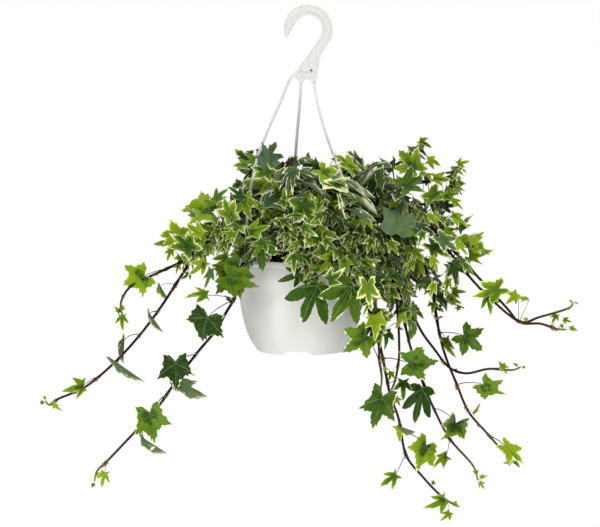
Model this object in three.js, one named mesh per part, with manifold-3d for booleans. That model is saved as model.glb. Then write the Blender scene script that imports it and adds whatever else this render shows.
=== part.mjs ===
// An ivy in a white hanging pot. Millimetres, +Z up, seen from -Y.
// The origin is the point inside the hook that bears on the rail or nail which holds it up.
// The pot, the hanger with its three legs, the soil and each leafy stem are solids of their own.
import * as THREE from "three";
import { mergeVertices } from "three/addons/utils/BufferGeometryUtils.js";
import Module from "manifold-3d";

const wasm = await Module();
wasm.setup();

// ---- Driving dimensions -------------------------------------------------------------------------
const RIM_DROP = 295; // hook bearing point down to the top of the pot's rim
const POT_SHIFT = -10; // the pot's axis, to the left of the hook

const POT_HEIGHT = 115;
const FOOT_RADIUS = 53.5;
const FOOT_HEIGHT = 5.5;
const LIP_RADIUS = 82.5;
const WALL = 1.8;
const POT_SIDES = 40;
const SOIL_SIDES = 24;
// Radius of the tapered wall at a height above the foot, up to the collar.
const WALL_PROFILE = [[0, 53.5], [1, 55.2], [15, 63.5], [30, 69.2], [55, 74.8], [84, 77.8]];
const COLLAR_PROFILE = [[84.6, 78.4], [90, 78.8], [90.6, 79.4], [108, 80.5], [109.5, 82.2]];
const DRAIN_NOTCH = { foot: 38, top: 21, count: 4, turn: -95 };
const DRAIN_HOLE = { radius: 4, ring: 38, count: 6 };

const TAB = { width: 12, inner: 70.4, outer: 79.4, top: -3, thickness: 2.5 };
const LEG = { width: 3.4, depth: 2.6, seat: 75.2 };
const LEG_CLEARANCE = 0.5;
const TAB_GAP = 0.3;

const SOIL_DROP = 13; // below the rim, at the wall
const SOIL_CROWN = 3; // the middle stands higher
const SOIL_GAP = 0.35;
const ROOT_DEPTH = 34; // foot of every stem, below the rim
const HOLE_CLEARANCE = 0.9;

const BLADE_THICKNESS = 0.9;
const CLEARANCE = 0.3; // least gap between two solids
const STEM_SIDES = 4;
const STEM_TIP_RADIUS = 1;
const STEM_RADIUS = 1.6;
const STALK_RADIUS = 0.65;
const STALK_END_RADIUS = 0.42;
const STALK_INSIDE = 0.06; // how far a stalk runs under its blade, over the blade's length
const NOTCH_LIFT = 0.05; // how far a blade rises between its lobes, over its length
const ATTEMPTS = 60; // tries at a place for each leaf or crown stem
const SLIVER = 0.03; // edges shorter than this go when solids are joined

// A leaf's outline round the end of its stalk: degrees from the midrib, and length over the midrib's.
const LEAF_LOBES = [[-128, 0.46], [-62, 0.8], [0, 1], [62, 0.8], [128, 0.46]];
const LEAF_SINUSES = [[-31, 0.5], [31, 0.5]];
const OUTER_SINUSES = [[-95, 0.42], [95, 0.42]];

// ---- Colours ------------------------------------------------------------------------------------
const paint = (color, roughness) => new THREE.MeshStandardMaterial({ color, roughness, metalness: 0 });
const potWhite = paint(0xf1f1ec, 0.45);
const soilBrown = paint(0x2e2119, 0.95);
const leafGreen = paint(0x4c7a2a, 0.5);

// ---- Solids -------------------------------------------------------------------------------------
// The closed solid of a geometry, with its faces turned outwards.
function solid(geometry) {
  const bare = new THREE.BufferGeometry().setAttribute("position", geometry.getAttribute("position"));
  if (geometry.index) bare.setIndex(geometry.index);
  const merged = mergeVertices(bare, 1e-4);
  const triVerts = new Uint32Array(merged.index.array);
  const build = () => new wasm.Manifold(
    new wasm.Mesh({ numProp: 3, vertProperties: merged.attributes.position.array, triVerts }));
  const made = build();
  if (made.volume() > 0) return made;
  for (let i = 0; i < triVerts.length; i += 3)
    [triVerts[i + 1], triVerts[i + 2]] = [triVerts[i + 2], triVerts[i + 1]];
  return build();
}

// The same solid without the slivers that joining leaves.
const tidied = (shape) => shape.asOriginal().simplify(SLIVER);

function meshOf(name, shape, material) {
  const { vertProperties, triVerts } = shape.getMesh();
  const geometry = new THREE.BufferGeometry();
  geometry.setAttribute("position", new THREE.BufferAttribute(new Float32Array(vertProperties), 3));
  geometry.setIndex(new THREE.BufferAttribute(new Uint32Array(triVerts), 1));
  geometry.computeVertexNormals();
  const mesh = new THREE.Mesh(geometry, material);
  mesh.name = name;
  return mesh;
}

// The solid through a row of rings of points, closed by a fan at each end.
function loft(rings) {
  const sides = rings[0].length;
  const index = [];
  for (let k = 0; k + 1 < rings.length; k++)
    for (let i = 0; i < sides; i++) {
      const a = k * sides + i;
      const b = k * sides + ((i + 1) % sides);
      index.push(a, b, b + sides, a, b + sides, a + sides);
    }
  const last = (rings.length - 1) * sides;
  for (let i = 1; i + 1 < sides; i++) index.push(0, i + 1, i, last, last + i, last + i + 1);
  const geometry = new THREE.BufferGeometry().setFromPoints(rings.flat());
  return solid(geometry.setIndex(index));
}

// The direction of a row of points at each of them.
function directions(points) {
  return points.map((point, i) => {
    const before = points[Math.max(i - 1, 0)];
    const after = points[Math.min(i + 1, points.length - 1)];
    return after.clone().sub(before).normalize();
  });
}

// A round rod through the points, with a radius at each of them.
function rod(points, radii, sides) {
  const along = directions(points);
  const start = Math.abs(along[0].x) < 0.8 ? new THREE.Vector3(1, 0, 0) : new THREE.Vector3(0, 1, 0);
  let across = start;
  return loft(points.map((point, k) => {
    across = across.clone().addScaledVector(along[k], -across.dot(along[k])).normalize();
    const other = along[k].clone().cross(across);
    return Array.from({ length: sides }, (_, i) => {
      const angle = (2 * Math.PI * i) / sides;
      return point.clone()
        .addScaledVector(across, radii[k] * Math.cos(angle))
        .addScaledVector(other, radii[k] * Math.sin(angle));
    });
  }));
}

// A solid of revolution round Z from [height, radius] pairs that start and end on the axis.
function turned(pairs, sides) {
  const profile = pairs.map(([height, radius]) => new THREE.Vector2(radius, height));
  return solid(new THREE.LatheGeometry(profile, sides).rotateX(Math.PI / 2));
}

// A box by its centre in a frame turned to an azimuth round the pot's axis.
function boxAt(azimuth, radius, z, alongRadius, across, height) {
  const box = new THREE.BoxGeometry(alongRadius, across, height).translate(radius, 0, z);
  return solid(box.rotateZ(azimuth));
}

const vectors = (rows) => rows.map((row) => new THREE.Vector3(...row));
const mix = (from, to, share) => from + (to - from) * share;

// ---- Pot ----------------------------------------------------------------------------------------
// Where each leg of the hanger clips to the rim, and its bow on the way down from the hook's plate:
// [distance from the pot's axis, height over the rim]. The first is where it leaves the plate.
const LEGS = [
  { azimuth: 213, foot: [-14.8, 215], bow: [[33, 184], [50, 152], [65, 115], [76, 66], [77.6, 30]] },
  { azimuth: 333, foot: [15.6, 211], bow: [[24, 182], [34, 150], [50, 112], [70, 62], [76.4, 30]] },
  { azimuth: 99, foot: [-0.5, 211], bow: [[14, 184], [32, 152], [50, 114], [70, 64], [76.4, 30]] },
];
const radians = THREE.MathUtils.degToRad;

function wallRadius(height) {
  const k = Math.max(1, WALL_PROFILE.findIndex(([level]) => level >= height));
  const [[lowLevel, lowRadius], [highLevel, highRadius]] = [WALL_PROFILE[k - 1], WALL_PROFILE[k]];
  return mix(lowRadius, highRadius, (height - lowLevel) / (highLevel - lowLevel));
}

// A moulded shell on a skirted foot, with a rolled lip, drain holes and three tabs for the legs.
function pot() {
  const floor = FOOT_HEIGHT + WALL;
  const inside = WALL_PROFILE.filter(([height]) => height > floor)
    .map(([height, radius]) => [height, radius - WALL]).reverse();
  let shell = turned([
    [FOOT_HEIGHT, 0],
    [FOOT_HEIGHT, FOOT_RADIUS - 2],
    [0, FOOT_RADIUS - 2],
    ...WALL_PROFILE,
    ...COLLAR_PROFILE,
    [113, LIP_RADIUS],
    [POT_HEIGHT, LIP_RADIUS - 1.2],
    [POT_HEIGHT, LIP_RADIUS - 3.4],
    [106, 80.4 - WALL],
    [90.2, 79 - WALL],
    ...inside,
    [floor, wallRadius(floor) - WALL],
    [floor, 0],
  ], POT_SIDES);

  const notch = new THREE.Shape([
    [-DRAIN_NOTCH.foot / 2, -1],
    [DRAIN_NOTCH.foot / 2, -1],
    [DRAIN_NOTCH.top / 2, FOOT_HEIGHT - 0.6],
    [-DRAIN_NOTCH.top / 2, FOOT_HEIGHT - 0.6],
  ].map(([x, y]) => new THREE.Vector2(x, y)));
  for (let i = 0; i < DRAIN_NOTCH.count; i++) {
    const cut = new THREE.ExtrudeGeometry(notch, { depth: 30, bevelEnabled: false })
      .rotateX(Math.PI / 2).translate(0, -40, 0)
      .rotateZ(radians(DRAIN_NOTCH.turn + 90 + (360 / DRAIN_NOTCH.count) * i));
    shell = shell.subtract(solid(cut));
  }
  for (let i = 0; i < DRAIN_HOLE.count; i++) {
    const hole = new THREE.CylinderGeometry(DRAIN_HOLE.radius, DRAIN_HOLE.radius, 8, 10)
      .rotateX(Math.PI / 2).translate(DRAIN_HOLE.ring, 0, FOOT_HEIGHT + WALL / 2)
      .rotateZ((2 * Math.PI * i) / DRAIN_HOLE.count);
    shell = shell.subtract(solid(hole));
  }
  shell = shell.translate([0, 0, -POT_HEIGHT]);

  const tabMiddle = (TAB.inner + TAB.outer) / 2;
  const tabHeight = TAB.top - TAB.thickness / 2;
  for (const { azimuth } of LEGS) {
    const turn = radians(azimuth);
    const tab = boxAt(turn, tabMiddle, tabHeight, TAB.outer - TAB.inner, TAB.width, TAB.thickness);
    const slot = boxAt(turn, LEG.seat, tabHeight,
      LEG.depth + 2 * LEG_CLEARANCE, LEG.width + 2 * LEG_CLEARANCE, 2 * TAB.thickness);
    shell = shell.add(tab).subtract(slot);
  }
  return shell;
}

// ---- Hanger -------------------------------------------------------------------------------------
const HOOK_MIDDLE = [-1.8, -17.6];
const HOOK_OUTER = 30;
const HOOK_INNER = 17.2;
const HOOK_THICKNESS = 5.2;
const HOOK_WEB = 2.6;
const HOOK_BORDER = 2.2;
// Edges of the shank below the hook, in [x, height] from the bearing point.
const SHANK_RIGHT = [[19.5, -40], [13.5, -50.5], [10.6, -66]];
const SHANK_LEFT = [[-11.3, -61.5], [0, -46], [9, -33]];
const PLATE_FEET = [
  [8, -81], [7.6, -84], [3.2, -84], [1.5, -79.5], [-2.4, -77.5], [-6.5, -79.5], [-8.2, -84],
  [-12.8, -84], [-14.5, -78.5], [-17.5, -76.5], [-20.4, -77.5], [-22.4, -81], [-27, -79.5],
];
const HOOK_TIP = [[-21.8, -18.5], [-25.2, -24], [-26.6, -27.6], [-29.2, -28.4]];

function hookArc(radius, from, to, steps) {
  return Array.from({ length: steps + 1 }, (_, i) => {
    const angle = radians(mix(from, to, i / steps));
    return [HOOK_MIDDLE[0] + radius * Math.cos(angle), HOOK_MIDDLE[1] + radius * Math.sin(angle)];
  });
}

// The hook's outline, drawn in by an inset all round, down to the given lower end of its plate.
function hookOutline(inset, plateEnd) {
  const rightEdge = SHANK_RIGHT.map(([x, height]) => [x - inset, height + inset / 2]);
  const leftEdge = SHANK_LEFT.map(([x, height]) => [x + inset, height + inset / 2]);
  const tip = HOOK_TIP.slice(0, inset ? 2 : 4).map(([x, height]) => [x - inset * 0.3, height + inset]);
  return [
    ...hookArc(HOOK_OUTER - inset, 196, -22, 14),
    ...rightEdge,
    ...plateEnd,
    ...leftEdge,
    ...hookArc(HOOK_INNER + inset, -30, 158, 10),
    ...tip,
  ].map(([x, height]) => new THREE.Vector2(x, height));
}

// A flat plate of an outline in [x, height], with its middle at a depth towards the viewer.
function plateSolid(outline, thickness, middle = 0) {
  const shape = new THREE.Shape(outline);
  const plate = new THREE.ExtrudeGeometry(shape, { depth: thickness, bevelEnabled: false });
  return solid(plate.translate(0, 0, middle - thickness / 2).rotateX(Math.PI / 2));
}

// A leg's centre line, in the pot's frame, from inside the plate to below its tab.
function legRoute({ azimuth, foot, bow }) {
  const turn = radians(azimuth);
  const at = (radius, height) =>
    new THREE.Vector3(radius * Math.cos(turn), radius * Math.sin(turn), height);
  const [footX, footHeight] = foot;
  return [
    new THREE.Vector3(footX, 0, footHeight + 6),
    new THREE.Vector3(footX, 0, footHeight),
    ...bow.map(([radius, height]) => at(radius, height)),
    at(LEG.seat, 6),
    at(LEG.seat, TAB.top - TAB.thickness - TAB_GAP - 3),
  ];
}

function leg(spec) {
  const turn = radians(spec.azimuth);
  const aside = new THREE.Vector3(-Math.sin(turn), Math.cos(turn), 0);
  const route = new THREE.CatmullRomCurve3(legRoute(spec), false, "catmullrom", 0.5);
  const points = route.points.flatMap((point, i) => {
    const bends = i > 1 && i < route.points.length - 2;
    return bends ? [point, route.getPoint((i + 0.5) / (route.points.length - 1))] : [point];
  });
  const along = directions(points);
  along[points.length - 1].set(0, 0, -1);
  along[points.length - 2].set(0, 0, -1);
  const strip = loft(points.map((point, k) => {
    const across = aside.clone().addScaledVector(along[k], -aside.dot(along[k])).normalize();
    const other = along[k].clone().cross(across);
    return [[1, 1], [-1, 1], [-1, -1], [1, -1]].map(([u, v]) => point.clone()
      .addScaledVector(across, (u * LEG.width) / 2)
      .addScaledVector(other, (v * LEG.depth) / 2));
  }));
  // The barb below the tab, wider than its slot and narrower again at its lower end.
  const under = TAB.top - TAB.thickness - TAB_GAP;
  const barb = new THREE.CylinderGeometry(4.6, 2.4, 3.4, 4, 1).rotateY(Math.PI / 4)
    .rotateX(Math.PI / 2).scale(0.46, 1.12, 1).translate(LEG.seat, 0, under - 1.7).rotateZ(turn);
  return strip.add(solid(barb));
}

// The hook and its plate, hollowed on both faces so that a border stands round them, and the legs.
function hanger() {
  const pocket = hookOutline(HOOK_BORDER, [[7.2, -70], [-14, -70]]);
  const face = HOOK_THICKNESS / 2;
  const depth = face - HOOK_WEB / 2;
  const head = plateSolid(hookOutline(0, PLATE_FEET), HOOK_THICKNESS)
    .subtract(plateSolid(pocket, 2 * depth, face))
    .subtract(plateSolid(pocket, 2 * depth, -face))
    .translate([-POT_SHIFT, 0, RIM_DROP]);
  return LEGS.reduce((sum, spec) => sum.add(leg(spec)), head);
}

// ---- Soil ---------------------------------------------------------------------------------------
// The root ball fills the pot to a little below its rim, crumbly on top.
function soil() {
  const wallLevels = WALL_PROFILE.slice(2).map(([height, radius]) => [height, radius - WALL - SOIL_GAP]);
  const top = POT_HEIGHT - SOIL_DROP;
  const floor = FOOT_HEIGHT + WALL + SOIL_GAP;
  const pairs = [
    [floor, 0],
    [floor, wallRadius(floor) - WALL - SOIL_GAP],
    ...wallLevels,
    [top, 79.4 - WALL - SOIL_GAP - 0.6],
    ...[62, 44, 28, 12].map((radius) => [top + SOIL_CROWN * (1 - (radius / 78) ** 2), radius]),
    [top + SOIL_CROWN, 0],
  ];
  const profile = pairs.map(([height, radius]) => new THREE.Vector2(radius, height));
  const body = new THREE.LatheGeometry(profile, SOIL_SIDES).rotateX(Math.PI / 2);
  const at = body.getAttribute("position");
  for (let i = 0; i < at.count; i++) {
    const [x, y, z] = [at.getX(i), at.getY(i), at.getZ(i)];
    const radius = Math.hypot(x, y);
    if (z < top - 1 || radius > 70 || radius < 1) continue;
    at.setZ(i, z + 1.1 * Math.sin(x * 0.31 + 1) * Math.cos(y * 0.27) + 0.5 * Math.sin(x + y));
  }
  return solid(body).translate([0, 0, -POT_HEIGHT]);
}

// ---- Leaves -------------------------------------------------------------------------------------
// A repeatable random number from 0 to 1 for one choice of one try of one leaf or stem.
function draw(stem, slot, attempt, choice) {
  let h = Math.imul(stem + 1, 73856093) ^ Math.imul(slot + 1, 19349663)
    ^ Math.imul(attempt + 1, 83492791) ^ Math.imul(choice + 1, 40503);
  h = Math.imul(h ^ (h >>> 16), 0x7feb352d);
  h = Math.imul(h ^ (h >>> 15), 0x846ca68b);
  return ((h ^ (h >>> 16)) >>> 0) / 4294967296;
}

// The points of a blade round the end of its stalk, on the blade's middle surface.
function bladeOutline({ base, midrib, normal, size, lobing, droop, sinuses }) {
  const side = midrib.clone().cross(normal);
  const points = [...LEAF_LOBES, ...sinuses].map(([degrees, reach], i) => {
    const lobe = i < LEAF_LOBES.length;
    const length = size * (lobe ? reach : reach * lobing);
    const lift = lobe ? -droop * reach * length : NOTCH_LIFT * size;
    const angle = radians(degrees);
    const point = base.clone()
      .addScaledVector(midrib, length * Math.cos(angle))
      .addScaledVector(side, length * Math.sin(angle))
      .addScaledVector(normal, lift);
    return { degrees, point };
  });
  return [base.clone(), ...points.sort((a, b) => a.degrees - b.degrees).map(({ point }) => point)];
}

function blade(leaf) {
  const outline = bladeOutline(leaf);
  const count = outline.length;
  const half = leaf.normal.clone().multiplyScalar(BLADE_THICKNESS / 2);
  const upper = outline.map((point) => point.clone().add(half));
  const lower = outline.map((point) => point.clone().sub(half));
  const index = [];
  for (let i = 1; i + 1 < count; i++) index.push(0, i + 1, i, count, count + i, count + i + 1);
  for (let i = 0; i < count; i++) {
    const next = (i + 1) % count;
    index.push(next, next + count, i + count, next, i + count, i);
  }
  return solid(new THREE.BufferGeometry().setFromPoints([...upper, ...lower]).setIndex(index));
}

// The stalk runs from the middle of the stem to just inside the blade, under its midrib.
function petiole({ root, base, midrib, normal, size, droop }) {
  const inside = STALK_INSIDE * size;
  const end = base.clone().addScaledVector(midrib, inside).addScaledVector(normal, -inside * droop);
  return rod([root, end], [STALK_RADIUS, STALK_END_RADIUS], 3);
}

const leafSolid = (leaf) => blade(leaf).add(petiole(leaf));

const spanPoint = (points, at) => {
  const k = Math.min(Math.floor(at), points.length - 2);
  return points[k].clone().lerp(points[k + 1], at - k);
};

// A leaf that the photograph shows on a trailing stem. `stalk` is from the stem to the blade, `turn`
// is the midrib from straight down towards +X, `tilt` lifts its face and `yaw` turns it on its midrib.
function shownLeaf(stem, slot, attempt) {
  const [at, stalk, size, turn, yaw, tilt] = stem.leaves[slot];
  const root = spanPoint(stem.points, at);
  const step = Math.ceil(attempt / 2) * (attempt % 2 ? -3 : 3);
  const base = root.clone().add(new THREE.Vector3(...stalk)).add(new THREE.Vector3(0, step, 0));
  const down = new THREE.Vector3(Math.sin(radians(turn)), 0, -Math.cos(radians(turn)));
  const face = new THREE.Vector3(0, -1, 0);
  const [cos, sin] = [Math.cos(radians(tilt)), Math.sin(radians(tilt))];
  const midrib = down.clone().multiplyScalar(cos).addScaledVector(face, sin);
  const normal = face.clone().multiplyScalar(cos).addScaledVector(down, -sin);
  normal.applyAxisAngle(midrib, radians(yaw));
  const lobing = mix(0.75, 1.15, draw(stem.number, slot, 0, 7));
  const droop = mix(0.1, 0.3, draw(stem.number, slot, 0, 8));
  return { root, base, midrib, normal, size, lobing, droop, sinuses: [...LEAF_SINUSES, ...OUTER_SINUSES] };
}

// A leaf among the others: its blade faces out, up and to the front or back, its tip hangs outwards.
function grownLeaf(stem, slot, attempt) {
  const { from, to, count, sizes } = stem.cover;
  const random = (choice) => draw(stem.number, slot + 40, attempt, choice);
  const share = (slot + 0.5 + 0.5 * (random(0) - 0.5)) / count;
  const at = mix(from, to, share);
  const root = spanPoint(stem.points, at);
  const along = spanPoint(stem.points, Math.min(at + 0.3, stem.points.length - 1)).sub(root).normalize();
  const up = new THREE.Vector3(0, 0, 1);
  const aside = along.clone().cross(up).normalize().multiplyScalar(slot % 2 ? 1 : -1);
  const size = mix(sizes[0], sizes[1], share) * mix(0.82, 1.18, random(1));
  const reach = size * mix(0.45, 1, random(2));
  const base = root.clone()
    .addScaledVector(aside, reach * mix(0.35, 1, random(3)))
    .addScaledVector(up, reach * mix(-0.25, 0.9, random(4)))
    .addScaledVector(along, reach * mix(-0.1, 0.6, random(5)));
  const outward = new THREE.Vector3(base.x, base.y, 0).normalize();
  const face = new THREE.Vector3(0, base.y < 25 ? -1 : 1, 0);
  const scatter = (first) => new THREE.Vector3(
    random(first) - 0.5, random(first + 1) - 0.5, random(first + 2) - 0.5);
  const normal = new THREE.Vector3().addScaledVector(outward, 0.5).addScaledVector(face, 0.6)
    .addScaledVector(up, 0.5).addScaledVector(scatter(6), 1.1).normalize();
  const midrib = new THREE.Vector3().addScaledVector(up, base.z > 70 ? -0.35 : -0.8)
    .addScaledVector(outward, 0.5).addScaledVector(aside, 0.35).addScaledVector(scatter(9), 0.9);
  midrib.addScaledVector(normal, -midrib.dot(normal)).normalize();
  const lobing = mix(0.75, 1.15, random(12));
  const droop = mix(0.1, 0.32, random(13));
  return { root, base, midrib, normal, size, lobing, droop, sinuses: LEAF_SINUSES };
}

// ---- Stems --------------------------------------------------------------------------------------
// The trailing stems, traced on the photograph: `route` runs from the foot in the soil to the tip,
// `leaves` are those it shows, [place on the route, stalk, size, turn, yaw, tilt], and `cover` is the
// stretch that the rule fills with leaves: [from, to, count, first size, last size].
const TRAILS = {
  trail_left_long: {
    route: [[-38, -12, -34], [-43, -13, -4], [-74, -22, 24], [-103, -27, 22], [-123, -30, 12],
      [-147, -42, -23], [-170, -50, -58], [-196, -57, -92], [-225, -62, -123], [-259, -66, -151],
      [-291, -68, -165], [-301, -70, -172], [-306, -72, -167]],
    leaves: [[5.2, [-18, -6, -1], 17, 0, 75, 0], [6.1, [-10, -6, -1], 25, 11, 80, 0],
      [6.9, [-20, 6, -7], 25, -21, 80, 0], [7.75, [-3, -6, -6], 33, 44, 78, 0],
      [8.6, [-16, -5, -9], 23, -80, 0, 45], [10.3, [-2, -3, -2], 16, 35, 40, 0]],
    cover: [1.6, 4.6, 3, 34, 24],
  },
  trail_left_arched: {
    route: [[-34, -32, -34], [-37, -35, -4], [-56, -55, 26], [-84, -61, 33], [-104, -62, 28],
      [-132, -72, 6], [-154, -80, -5], [-179, -88, -16], [-196, -92, -24], [-206, -95, -33],
      [-212, -97, -47], [-210, -98, -61]],
    leaves: [[6.2, [-27, -8, -8], 30, -61, 0, 10], [10.9, [0, -3, -2], 18, 0, 0, 15]],
    cover: [1.6, 5, 2, 34, 26],
  },
  trail_left_high: {
    route: [[-42, 10, -34], [-46, 10, -4], [-72, 10, 30], [-90, 9, 36], [-106, 10, 30],
      [-125, 14, 24], [-142, 18, 17], [-153, 20, 15]],
    leaves: [[6.1, [-14, -5, 2], 28, -77, 0, 15], [7, [4, -3, 12], 14, -60, 0, 10]],
    cover: [1.6, 6, 3, 34, 24],
  },
  trail_left_front: {
    route: [[-26, -42, -34], [-30, -46, -4], [-46, -63, 16], [-62, -80, 8], [-72, -92, -8],
      [-77, -106, -36], [-88, -112, -56], [-101, -114, -78], [-121, -112, -102], [-145, -108, -134],
      [-167, -104, -166], [-190, -99, -192], [-216, -95, -220], [-232, -92, -237], [-243, -90, -248],
      [-246, -90, -260]],
    leaves: [[5.2, [-32, -8, 5], 27, -103, 50, 20], [5.3, [-29, -8, -19], 32, -22, 10, 0],
      [8.1, [-23, -6, -9], 35, 5, 5, 10], [8.8, [-8, -12, -10], 36, 35, 110, 0],
      [9.6, [-19, -7, -22], 38, 16, 0, 8], [10.9, [1, -8, -15], 30, 26, 75, 0],
      [13, [-1, -5, -12], 20, -15, 15, 5], [4, [-3, -10, -1], 38, -51, 10, 10]],
    cover: [1.6, 4, 2, 34, 30],
  },
  trail_front_left: {
    route: [[-2, -42, -34], [-3, -45, -4], [-4, -64, 14], [-2, -84, 10], [4, -95, -3],
      [14, -101, -16], [18, -102, -26]],
    leaves: [[5.3, [4, -5, -6], 50, -30, 5, 10], [4.5, [12, -12, 2], 22, -66, 0, 25],
      [3.4, [-2, -8, -17], 29, -68, 15, 10]],
    cover: [1.6, 4, 2, 32, 26],
  },
  trail_front_middle: {
    route: [[16, -42, -34], [18, -46, -4], [24, -64, 16], [33, -80, 10], [44, -93, 0],
      [54, -100, -13], [58, -102, -22]],
    leaves: [[5.4, [4, -2, -9], 49, -34, -5, 8], [4.3, [-15, -14, -13], 26, 120, 0, 30]],
    cover: [1.6, 4, 2, 32, 26],
  },
  trail_front_right: {
    route: [[32, -34, -34], [35, -38, -4], [44, -56, 17], [54, -74, 14], [65, -88, 2],
      [74, -96, -12], [77, -98, -20]],
    leaves: [[5.6, [1, -4, -6], 33, 3, 0, 5]],
    cover: [1.6, 4.4, 2, 34, 28],
  },
  trail_right_inner: {
    route: [[26, -50, -34], [30, -53, -4], [42, -63, 12], [54, -70, 7], [62, -76, -10],
      [71, -92, -31], [79, -98, -52], [85, -96, -77], [91, -94, -95], [92, -94, -114],
      [95, -94, -136], [92, -95, -159]],
    leaves: [[9.1, [-18, -8, 31], 33, -52, 0, 5], [10.9, [3, -3, -2], 44, -20, 0, 5]],
    cover: [3.4, 8.4, 3, 30, 24],
  },
  trail_right_longest: {
    route: [[40, -40, -34], [44, -42, -4], [58, -50, 11], [71, -56, 4], [81, -70, -20],
      [87, -81, -50], [92, -80, -89], [97, -77, -115], [103, -74, -145], [107, -72, -163],
      [117, -69, -190], [126, -64, -234], [147, -60, -262], [168, -55, -285], [182, -52, -296],
      [192, -50, -301]],
    leaves: [[7, [32, -6, -4], 37, 93, 0, 5], [8, [19, 6, 1], 25, -2, 0, 10],
      [10.15, [0, -5, -1], 19, 39, 65, 0], [10.3, [29, -6, -18], 27, -36, 0, 35],
      [11, [-13, -6, -23], 27, -57, 0, 0], [13.1, [2, -5, -3], 24, -62, 0, 35],
      [13.6, [3, -4, -15], 16, -43, 0, 15]],
    cover: [3.4, 6.6, 2, 30, 26],
  },
  trail_right_short: {
    route: [[50, -24, -34], [54, -25, -4], [68, -25, 15], [85, -32, 11], [101, -42, -6],
      [112, -60, -34], [115, -66, -61], [117, -62, -96], [117, -57, -120], [112, -49, -150],
      [101, -44, -172]],
    leaves: [[8.2, [-8, -6, -8], 13, -20, 0, 10], [9.4, [7, -6, -8], 12, 30, 0, 10]],
    cover: [2.2, 7, 3, 34, 24],
  },
  trail_right_middle: {
    route: [[56, -12, -34], [60, -12, -4], [78, -13, 14], [95, -14, 10], [108, -22, -10],
      [120, -33, -45], [126, -36, -80], [135, -34, -115], [150, -28, -155], [163, -22, -186],
      [183, -16, -224], [212, -8, -258], [219, -6, -278]],
    leaves: [[8, [-3, -7, -4], 48, -16, 0, 5], [8.95, [26, -8, -18], 23, -31, 0, 40],
      [10, [-5, -5, -21], 24, -57, 50, 0], [11.8, [4, -3, -6], 11, 40, 0, 20]],
    cover: [2.2, 6.8, 3, 34, 26],
  },
  trail_right_outer: {
    route: [[58, 6, -34], [62, 6, -4], [82, 5, 16], [108, 3, 20], [130, -5, 10], [147, -16, -5],
      [158, -26, -34], [163, -31, -64], [169, -32, -96], [177, -32, -123], [189, -31, -152],
      [204, -30, -187], [226, -28, -213], [250, -25, -240], [268, -24, -257]],
    leaves: [[7.75, [8, -6, -9], 28, 17, 50, 0], [7.8, [30, -8, -3], 32, 51, 0, 5],
      [10.05, [33, -8, 1], 30, 55, 35, 0], [10.9, [7, -4, -4], 15, 138, 60, 0],
      [12.2, [20, -6, -12], 34, 52, 0, 10], [13.6, [-4, -3, 1], 11, -66, 0, 10]],
    cover: [2, 7, 3, 34, 26],
  },
  trail_right_curled: {
    route: [[54, 22, -34], [58, 22, -4], [78, 24, 16], [98, 25, 16], [113, 24, 4], [125, 14, -28],
      [134, 6, -62], [148, 0, -92], [164, -4, -114], [182, -8, -136], [203, -12, -143],
      [230, -15, -137], [258, -18, -138], [269, -18, -134]],
    leaves: [[11.4, [5, -4, 6], 13, 20, 0, 10]],
    cover: [2.4, 6.4, 2, 32, 26],
  },
  trail_right_behind: {
    route: [[44, 38, -34], [48, 40, -4], [66, 44, 16], [90, 44, 14], [112, 41, -4], [135, 32, -27],
      [160, 24, -44], [182, 17, -57], [202, 12, -65]],
    leaves: [[6.55, [16, -6, 7], 18, 96, 0, 25], [6.8, [8, 6, 1], 17, 57, 0, 15]],
    cover: [2.2, 6, 3, 32, 26],
  },
  trail_right_reaching: {
    route: [[30, -18, -34], [33, -20, -4], [56, -28, 48], [90, -33, 68], [122, -37, 66],
      [149, -41, 50], [168, -48, 22], [192, -53, -8], [220, -57, -39], [260, -62, -72],
      [285, -62, -67], [318, -62, -57], [325, -62, -50]],
    leaves: [[6.25, [6, -8, -20], 29, 22, 0, 5], [7.2, [5, -6, 22], 27, 101, 0, 60],
      [8, [4, 8, -4], 25, 17, 0, 5], [9, [-4, -6, 33], 19, -51, 0, 10],
      [9.05, [10, 6, 25], 14, -117, 70, 0]],
    cover: [1.8, 5.8, 3, 36, 28],
  },
  trail_right_forked: {
    route: [[34, -2, -34], [38, -3, -4], [64, -5, 44], [100, -7, 62], [136, -8, 52],
      [165, -10, 31], [205, -20, -12], [247, -34, -57], [264, -42, -76], [288, -46, -77],
      [307, -48, -83], [319, -48, -84]],
    leaves: [[9.8, [3, -4, 16], 13, -27, 0, 10], [10.7, [0, -4, 13], 11, 66, 0, 10]],
    cover: [1.8, 5.6, 3, 36, 26],
  },
  shoot_right_high: {
    route: [[16, -12, -34], [18, -13, -4], [36, -15, 54], [66, -18, 78], [102, -20, 86],
      [141, -26, 92], [170, -30, 97], [186, -32, 104], [195, -34, 113]],
    leaves: [[7, [3, -4, 11], 15, 113, 0, 30]],
    cover: [1.8, 6, 3, 34, 24],
  },
  shoot_right_curled: {
    route: [[20, 8, -34], [23, 8, -4], [46, 9, 50], [84, 10, 68], [122, 10, 66], [152, 10, 64],
      [175, 6, 71], [186, 4, 81], [189, 2, 97]],
    leaves: [],
    cover: [1.8, 6.6, 3, 34, 24],
  },
  shoot_top: {
    route: [[10, 4, -34], [12, 4, -4], [34, 4, 60], [72, 2, 100], [112, -2, 112], [138, -4, 124],
      [145, -4, 140]],
    leaves: [[6, [0, -2, 2], 14, 60, 0, 40]],
    cover: [1.8, 5.6, 3, 34, 22],
  },
  trail_back_right: {
    route: [[12, 46, -34], [13, 50, -4], [16, 68, 16], [20, 88, 8], [24, 100, -18], [28, 104, -50],
      [30, 104, -78]],
    leaves: [],
    cover: [1.8, 6, 3, 34, 22],
  },
  trail_back_left: {
    route: [[-24, 40, -34], [-26, 44, -4], [-36, 62, 16], [-46, 80, 8], [-54, 92, -16],
      [-60, 98, -44], [-64, 98, -66]],
    leaves: [],
    cover: [1.8, 6, 3, 34, 22],
  },
};

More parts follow.
